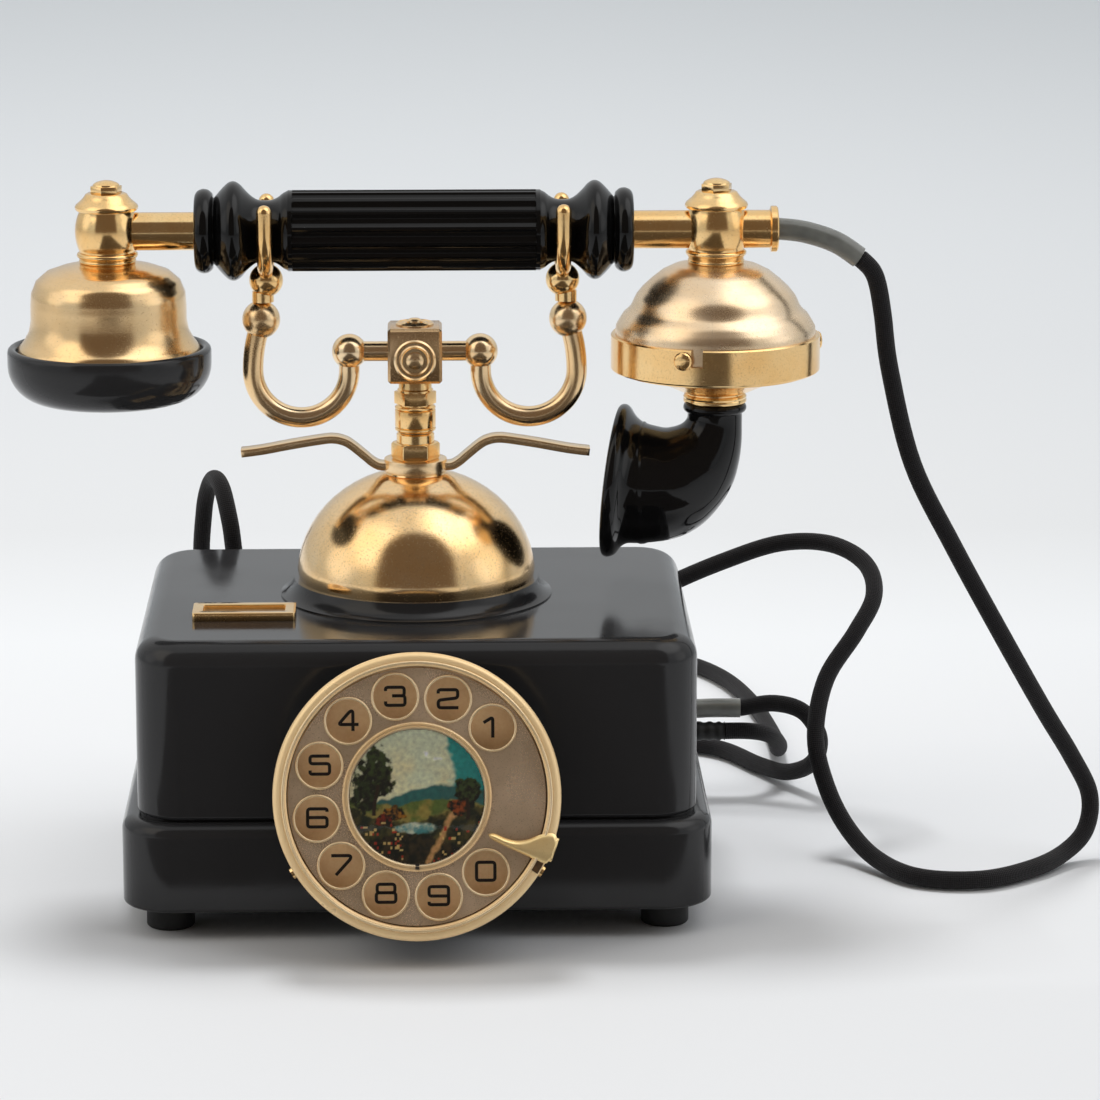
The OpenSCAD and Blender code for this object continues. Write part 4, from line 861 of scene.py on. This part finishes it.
def landscape(x, y):
    """Tone of a made-up pastoral landscape at a point of the unit disc: sky, hills, trees, pond and path."""
    def rough(scale, seed, octaves=4):
        return noise.fractal(Vector((x * scale, y * scale, seed)), 1.0, 2.0, octaves)

    tone = blend_tones((0.62, 0.54, 0.34), (0.50, 0.52, 0.40), 0.5 + y * 0.5 + rough(2.2, 3) * 0.4)
    storm = rough(1.7, 8) + 1.5 * (x - 0.12) - 0.5 * abs(y - 0.35)
    tone = blend_tones(tone, (0.035, 0.27, 0.25), (storm - 0.10) * 3)
    tone = blend_tones(tone, (0.72, 0.72, 0.60), (rough(3.0, 12) - 0.20 - abs(x - 0.20)) * 4)
    ridge = 0.06 + 0.14 * math.sin(2.4 * x + 0.5) + 0.05 * rough(4, 21)
    tone = blend_tones(tone, (0.05, 0.15, 0.14), (ridge - y) * 24)
    plain_top = -0.06 + 0.05 * math.sin(4.1 * x + 0.4) + 0.04 * rough(5, 27)
    tone = blend_tones(tone, blend_tones((0.30, 0.24, 0.08), (0.12, 0.16, 0.05), 0.5 + rough(5, 29)),
                       (plain_top - y) * 26)
    near = -0.24 + 0.12 * math.sin(3.1 * x - 1.0) + 0.07 * rough(5, 34)
    tone = blend_tones(tone, blend_tones((0.012, 0.028, 0.014), (0.10, 0.085, 0.028), 0.5 + rough(6, 38)),
                       (near - y) * 24)
    pond = 1 - ((x + 0.02) / 0.36) ** 2 - ((y + 0.46) / 0.10) ** 2 + 0.5 * rough(7, 41)
    tone = blend_tones(tone, blend_tones((0.10, 0.27, 0.27), (0.50, 0.52, 0.42), 0.5 + rough(9, 44)), pond * 1.6)
    bank = -0.64 + 0.12 * math.sin(2.8 * x + 2) + 0.05 * rough(9, 47)
    tone = blend_tones(tone, blend_tones((0.008, 0.016, 0.010), (0.06, 0.045, 0.02), 0.5 + rough(8, 52)),
                       (bank - y) * 26)
    trail = 1 - abs(x - 0.40 - 0.5 * (y + 0.5) + 0.05 * rough(5, 58)) / 0.08
    tone = blend_tones(tone, (0.48, 0.30, 0.14), trail * (1.4 if y < near - 0.02 else 0))
    for cx, cy, rx, ry, seed, light in ((-0.62, 0.34, 0.30, 0.38, 61, (0.05, 0.075, 0.02)),
                                        (-0.76, 0.0, 0.22, 0.24, 66, (0.035, 0.06, 0.02)),
                                        (0.74, 0.04, 0.20, 0.26, 71, (0.06, 0.09, 0.03)),
                                        (0.60, -0.16, 0.17, 0.12, 75, (0.30, 0.085, 0.02)),
                                        (-0.30, -0.24, 0.18, 0.11, 78, (0.36, 0.17, 0.03)),
                                        (-0.46, -0.34, 0.16, 0.10, 83, (0.24, 0.035, 0.015))):
        leaf = 1 - ((x - cx) / rx) ** 2 - ((y - cy) / ry) ** 2 + 0.9 * rough(7, seed)
        shade = blend_tones((0.006, 0.012, 0.006), light, 0.45 + 1.1 * rough(13, seed + 2) + 1.1 * (y - cy))
        tone = blend_tones(tone, shade, leaf * 2.6)
    for cx, cy, height, lean in ((-0.60, -0.28, 0.46, 0.03), (0.73, -0.34, 0.32, -0.02)):
        if cy < y < cy + height:
            trunk = 1 - abs(x - cx - lean * math.sin(7 * y)) / (0.035 + 0.03 * max(0, cy + 0.08 - y))
            tone = blend_tones(tone, (0.035, 0.02, 0.010), trunk * 2)
    flowers = noise.cell_vector(Vector((x * 30, y * 30, 5)))
    if y < -0.36 and flowers.x > 0.90 and abs(x) > 0.2:
        tone = blend_tones(tone, (0.42, 0.06, 0.03) if flowers.y > 0.5 else (0.55, 0.42, 0.18), 0.8)
    # harder, brighter tone curve: more contrast in the picture, and painted light that makes up for the light the
    # glass lens keeps off the paint
    tone = tuple(min(0.95, 1.9 * c ** 1.35) for c in tone)
    lit = 1 + 0.25 * rough(16, 90, 3)
    return tuple(max(0.0, c * lit) for c in tone)


def medallion():
    """The painted disc: a fine grid whose points carry the landscape's tones."""
    radius, cells = 19.15, 150
    points, keep, tones = [], {}, []
    for i in range(cells + 1):
        for j in range(cells + 1):
            x, y = 2 * i / cells - 1, 2 * j / cells - 1
            if x * x + y * y <= 1.0:
                keep[i, j] = len(points)
                points.append(on_dial(radius * x, radius * y, -0.93))
                tones.append(landscape(x, y))
    faces = [tuple(keep[q] for q in ((i, j), (i + 1, j), (i + 1, j + 1), (i, j + 1)))
             for i in range(cells) for j in range(cells)
             if all(q in keep for q in ((i, j), (i + 1, j), (i + 1, j + 1), (i, j + 1)))]
    s = Shader("painted_landscape", (0.3, 0.3, 0.25), 0, 0.45)
    paint = s.nodes.new("ShaderNodeAttribute")
    paint.attribute_name = "paint"
    s.set("Specular IOR Level", 0.2)
    canvas = s.mixed(s.spread(s.noise(3000, 2), 0.3, 0.7, 0, 0.06), paint.outputs["Color"], (0.15, 0.12, 0.07))
    s.link(canvas, "Base Color")
    s.link(s.bump(s.noise(2500, 2), 0.1, 0.0001), "Normal")
    piece = build("medallion_painting", points, faces, s.material, "finger_wheel_body", 0)
    layer = piece.data.color_attributes.new("paint", "FLOAT_COLOR", "POINT")
    for i, tone in enumerate(tones):
        layer.data[i].color = (*tone, 1)
    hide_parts("medallion_disc")


medallion()


# ---------------------------------------------------------------- floor, light and surroundings
FLOOR_R = 6                # metres


def floor():
    """A round floor of pale paper, with painted shade: its tone darkens a little towards the back and the right,
    where less light falls.
    """
    s = Shader("floor_paper", (0.8, 0.8, 0.8), 0, 0.7)
    s.set("Specular IOR Level", 0.15)
    # painted shade: the ramp darkens the paper with distance, and the multiply below darkens it towards the right
    ramp = s.nodes.new("ShaderNodeValToRGB")
    split = s.nodes.new("ShaderNodeSeparateXYZ")
    s.links.new(s.coords.outputs["Object"], split.inputs["Vector"])
    s.links.new(s.spread(split.outputs["Y"], 0.2, 3.0, 0, 1), ramp.inputs["Fac"])
    ramp.color_ramp.elements[0].color = (0.765, 0.78, 0.80, 1)
    ramp.color_ramp.elements[1].color = (0.672, 0.718, 0.755, 1)
    for position, color in ((0.04, (0.765, 0.785, 0.805, 1)), (0.105, (0.675, 0.69, 0.705, 1)),
                            (0.25, (0.646, 0.666, 0.687, 1))):
        ramp.color_ramp.elements.new(position).color = color
    shaded = s.nodes.new("ShaderNodeMix")
    shaded.data_type = "RGBA"
    shaded.blend_type = "MULTIPLY"
    shaded.inputs["B"].default_value = (0.90, 0.905, 0.91, 1)
    s.links.new(s.spread(split.outputs["X"], 0.1, 0.9, 0, 1), shaded.inputs["Factor"])
    s.links.new(ramp.outputs["Color"], shaded.inputs["A"])
    s.link(shaded.outputs["Result"], "Base Color")
    s.link(s.bump(s.noise(900, 2), 0.03, 0.0005), "Normal")
    sides = 96
    mesh = bpy.data.meshes.new("floor")
    mesh.from_pydata([(FLOOR_R * math.cos(math.tau * k / sides), FLOOR_R * math.sin(math.tau * k / sides), 0)
                      for k in range(sides)], [], [tuple(range(sides))])
    mesh.materials.append(s.material)
    piece = bpy.data.objects.new("floor", mesh)
    bpy.context.scene.collection.objects.link(piece)


def dark_reflection_card():
    """A dark card lying in front, seen only in polished surfaces: painted dark reflection where they mirror the floor
    in front.
    """
    s = Shader("dark_reflection_card", (0.05, 0.04, 0.033), 0, 0.8)
    s.link(s.mixed(s.noise(6, 3), (0.03, 0.022, 0.018), (0.09, 0.075, 0.06)), "Base Color")
    mesh = bpy.data.meshes.new("dark_reflection_card")
    mesh.from_pydata([(-0.42, -1.9, 0.002), (0.42, -1.9, 0.002), (0.20, -0.10, 0.002), (-0.20, -0.10, 0.002)],
                     [], [(0, 1, 2, 3)])
    mesh.materials.append(s.material)
    piece = bpy.data.objects.new("dark_reflection_card", mesh)
    bpy.context.scene.collection.objects.link(piece)
    # only glossy rays see the card, so it paints dark reflection and casts no shade
    piece.visible_camera = False
    piece.visible_diffuse = False
    piece.visible_shadow = False
    piece.visible_transmission = False


OPENING_HALF_WIDE = math.radians(40)
OPENING_SIDES_TO = math.radians(14)
OPENING_ARCH = math.radians(52)
TENT_STRENGTH, LESS_ON_MATT = 0.86, 0.24


def tent():
    """Light from all round, as in a white tent, with a dim room seen through its arched opening in front."""
    world = bpy.data.worlds.new("tent")
    bpy.context.scene.world = world
    world.use_nodes = True
    tree = world.node_tree
    back = tree.nodes["Background"]

    def calc(operation, a, b=0.0):
        node = tree.nodes.new("ShaderNodeMath")
        node.operation = operation
        for socket, value in zip(node.inputs, (a, b)):
            if isinstance(value, bpy.types.NodeSocket):
                tree.links.new(value, socket)
            else:
                socket.default_value = value
        return node.outputs["Value"]

    def ramp(value, low, high, first, second):
        node = tree.nodes.new("ShaderNodeMapRange")
        node.interpolation_type = "SMOOTHSTEP"
        tree.links.new(value, node.inputs["Value"])
        node.inputs["From Min"].default_value = low
        node.inputs["From Max"].default_value = high
        mix = tree.nodes.new("ShaderNodeMix")
        mix.data_type = "RGBA"
        tree.links.new(node.outputs["Result"], mix.inputs["Factor"])
        for socket, color in (("A", first), ("B", second)):
            if isinstance(color, bpy.types.NodeSocket):
                tree.links.new(color, mix.inputs[socket])
            else:
                mix.inputs[socket].default_value = (*color, 1)
        return mix.outputs["Result"]

    coords = tree.nodes.new("ShaderNodeTexCoord")
    split = tree.nodes.new("ShaderNodeSeparateXYZ")
    tree.links.new(coords.outputs["Generated"], split.inputs["Vector"])
    x, y, z = (split.outputs[k] for k in ("X", "Y", "Z"))
    level = calc("SQRT", calc("SQRT", calc("SUBTRACT", 1.0, calc("MULTIPLY", z, z))))
    aside = calc("MULTIPLY", calc("ARCTAN2", x, calc("MULTIPLY", y, -1.0)),
                 calc("DIVIDE", level, OPENING_HALF_WIDE))
    over_sides = calc("MAXIMUM", calc("SUBTRACT", calc("ARCSINE", z), OPENING_SIDES_TO), 0.0)
    high = calc("DIVIDE", over_sides, OPENING_ARCH)
    arch = calc("ADD", calc("MULTIPLY", aside, aside), calc("POWER", high, 3.0))
    walls = ramp(z, -0.05, 0.75, (0.64, 0.67, 0.69), (0.95, 0.95, 0.95))
    for way, narrow, wide, color in (((0.50, -0.12, 0.86), 0.84, 0.985, (2.3, 2.3, 2.3)),
                                     ((-0.62, -0.38, 0.68), 0.86, 0.98, (1.7, 1.6, 1.45)),
                                     ((0.95, -0.2, 0.25), 0.93, 0.99, (1.35, 1.35, 1.35)),
                                     ((-0.95, -0.1, 0.28), 0.93, 0.99, (1.25, 1.25, 1.25))):
        toward = tree.nodes.new("ShaderNodeVectorMath")
        toward.operation = "DOT_PRODUCT"
        tree.links.new(coords.outputs["Generated"], toward.inputs[0])
        toward.inputs[1].default_value = Vector(way).normalized()
        walls = ramp(toward.outputs["Value"], narrow, wide, walls, color)
    tree.links.new(ramp(arch, 0.88, 1.1, (0.165, 0.13, 0.105), walls), back.inputs["Color"])
    path = tree.nodes.new("ShaderNodeLightPath")
    less = calc("MULTIPLY", path.outputs["Is Diffuse Ray"], LESS_ON_MATT)
    strength = calc("SUBTRACT", TENT_STRENGTH, less)
    tree.links.new(strength, back.inputs["Strength"])


AIM = Vector((0, 0, 0.09))


def panel(name, place, size, power, color=(1, 1, 1)):
    """A soft light turned to the middle of the telephone, unseen in reflections."""
    data = bpy.data.lights.new(name, "AREA")
    data.shape = "RECTANGLE"
    data.size, data.size_y = size
    data.energy = power
    data.color = color
    lamp = bpy.data.objects.new(name, data)
    lamp.location = Vector(place)
    lamp.rotation_euler = (Vector(place) - AIM).to_track_quat("Z", "Y").to_euler()
    bpy.context.scene.collection.objects.link(lamp)
    lamp.visible_glossy = False


floor()
dark_reflection_card()
tent()
panel("panel_left", (-0.85, -0.50, 0.92), (0.55, 0.55), 1.2, (1.0, 0.97, 0.93))
panel("panel_back", (-0.14, 0.95, 2.4), (0.62, 0.54), 34)
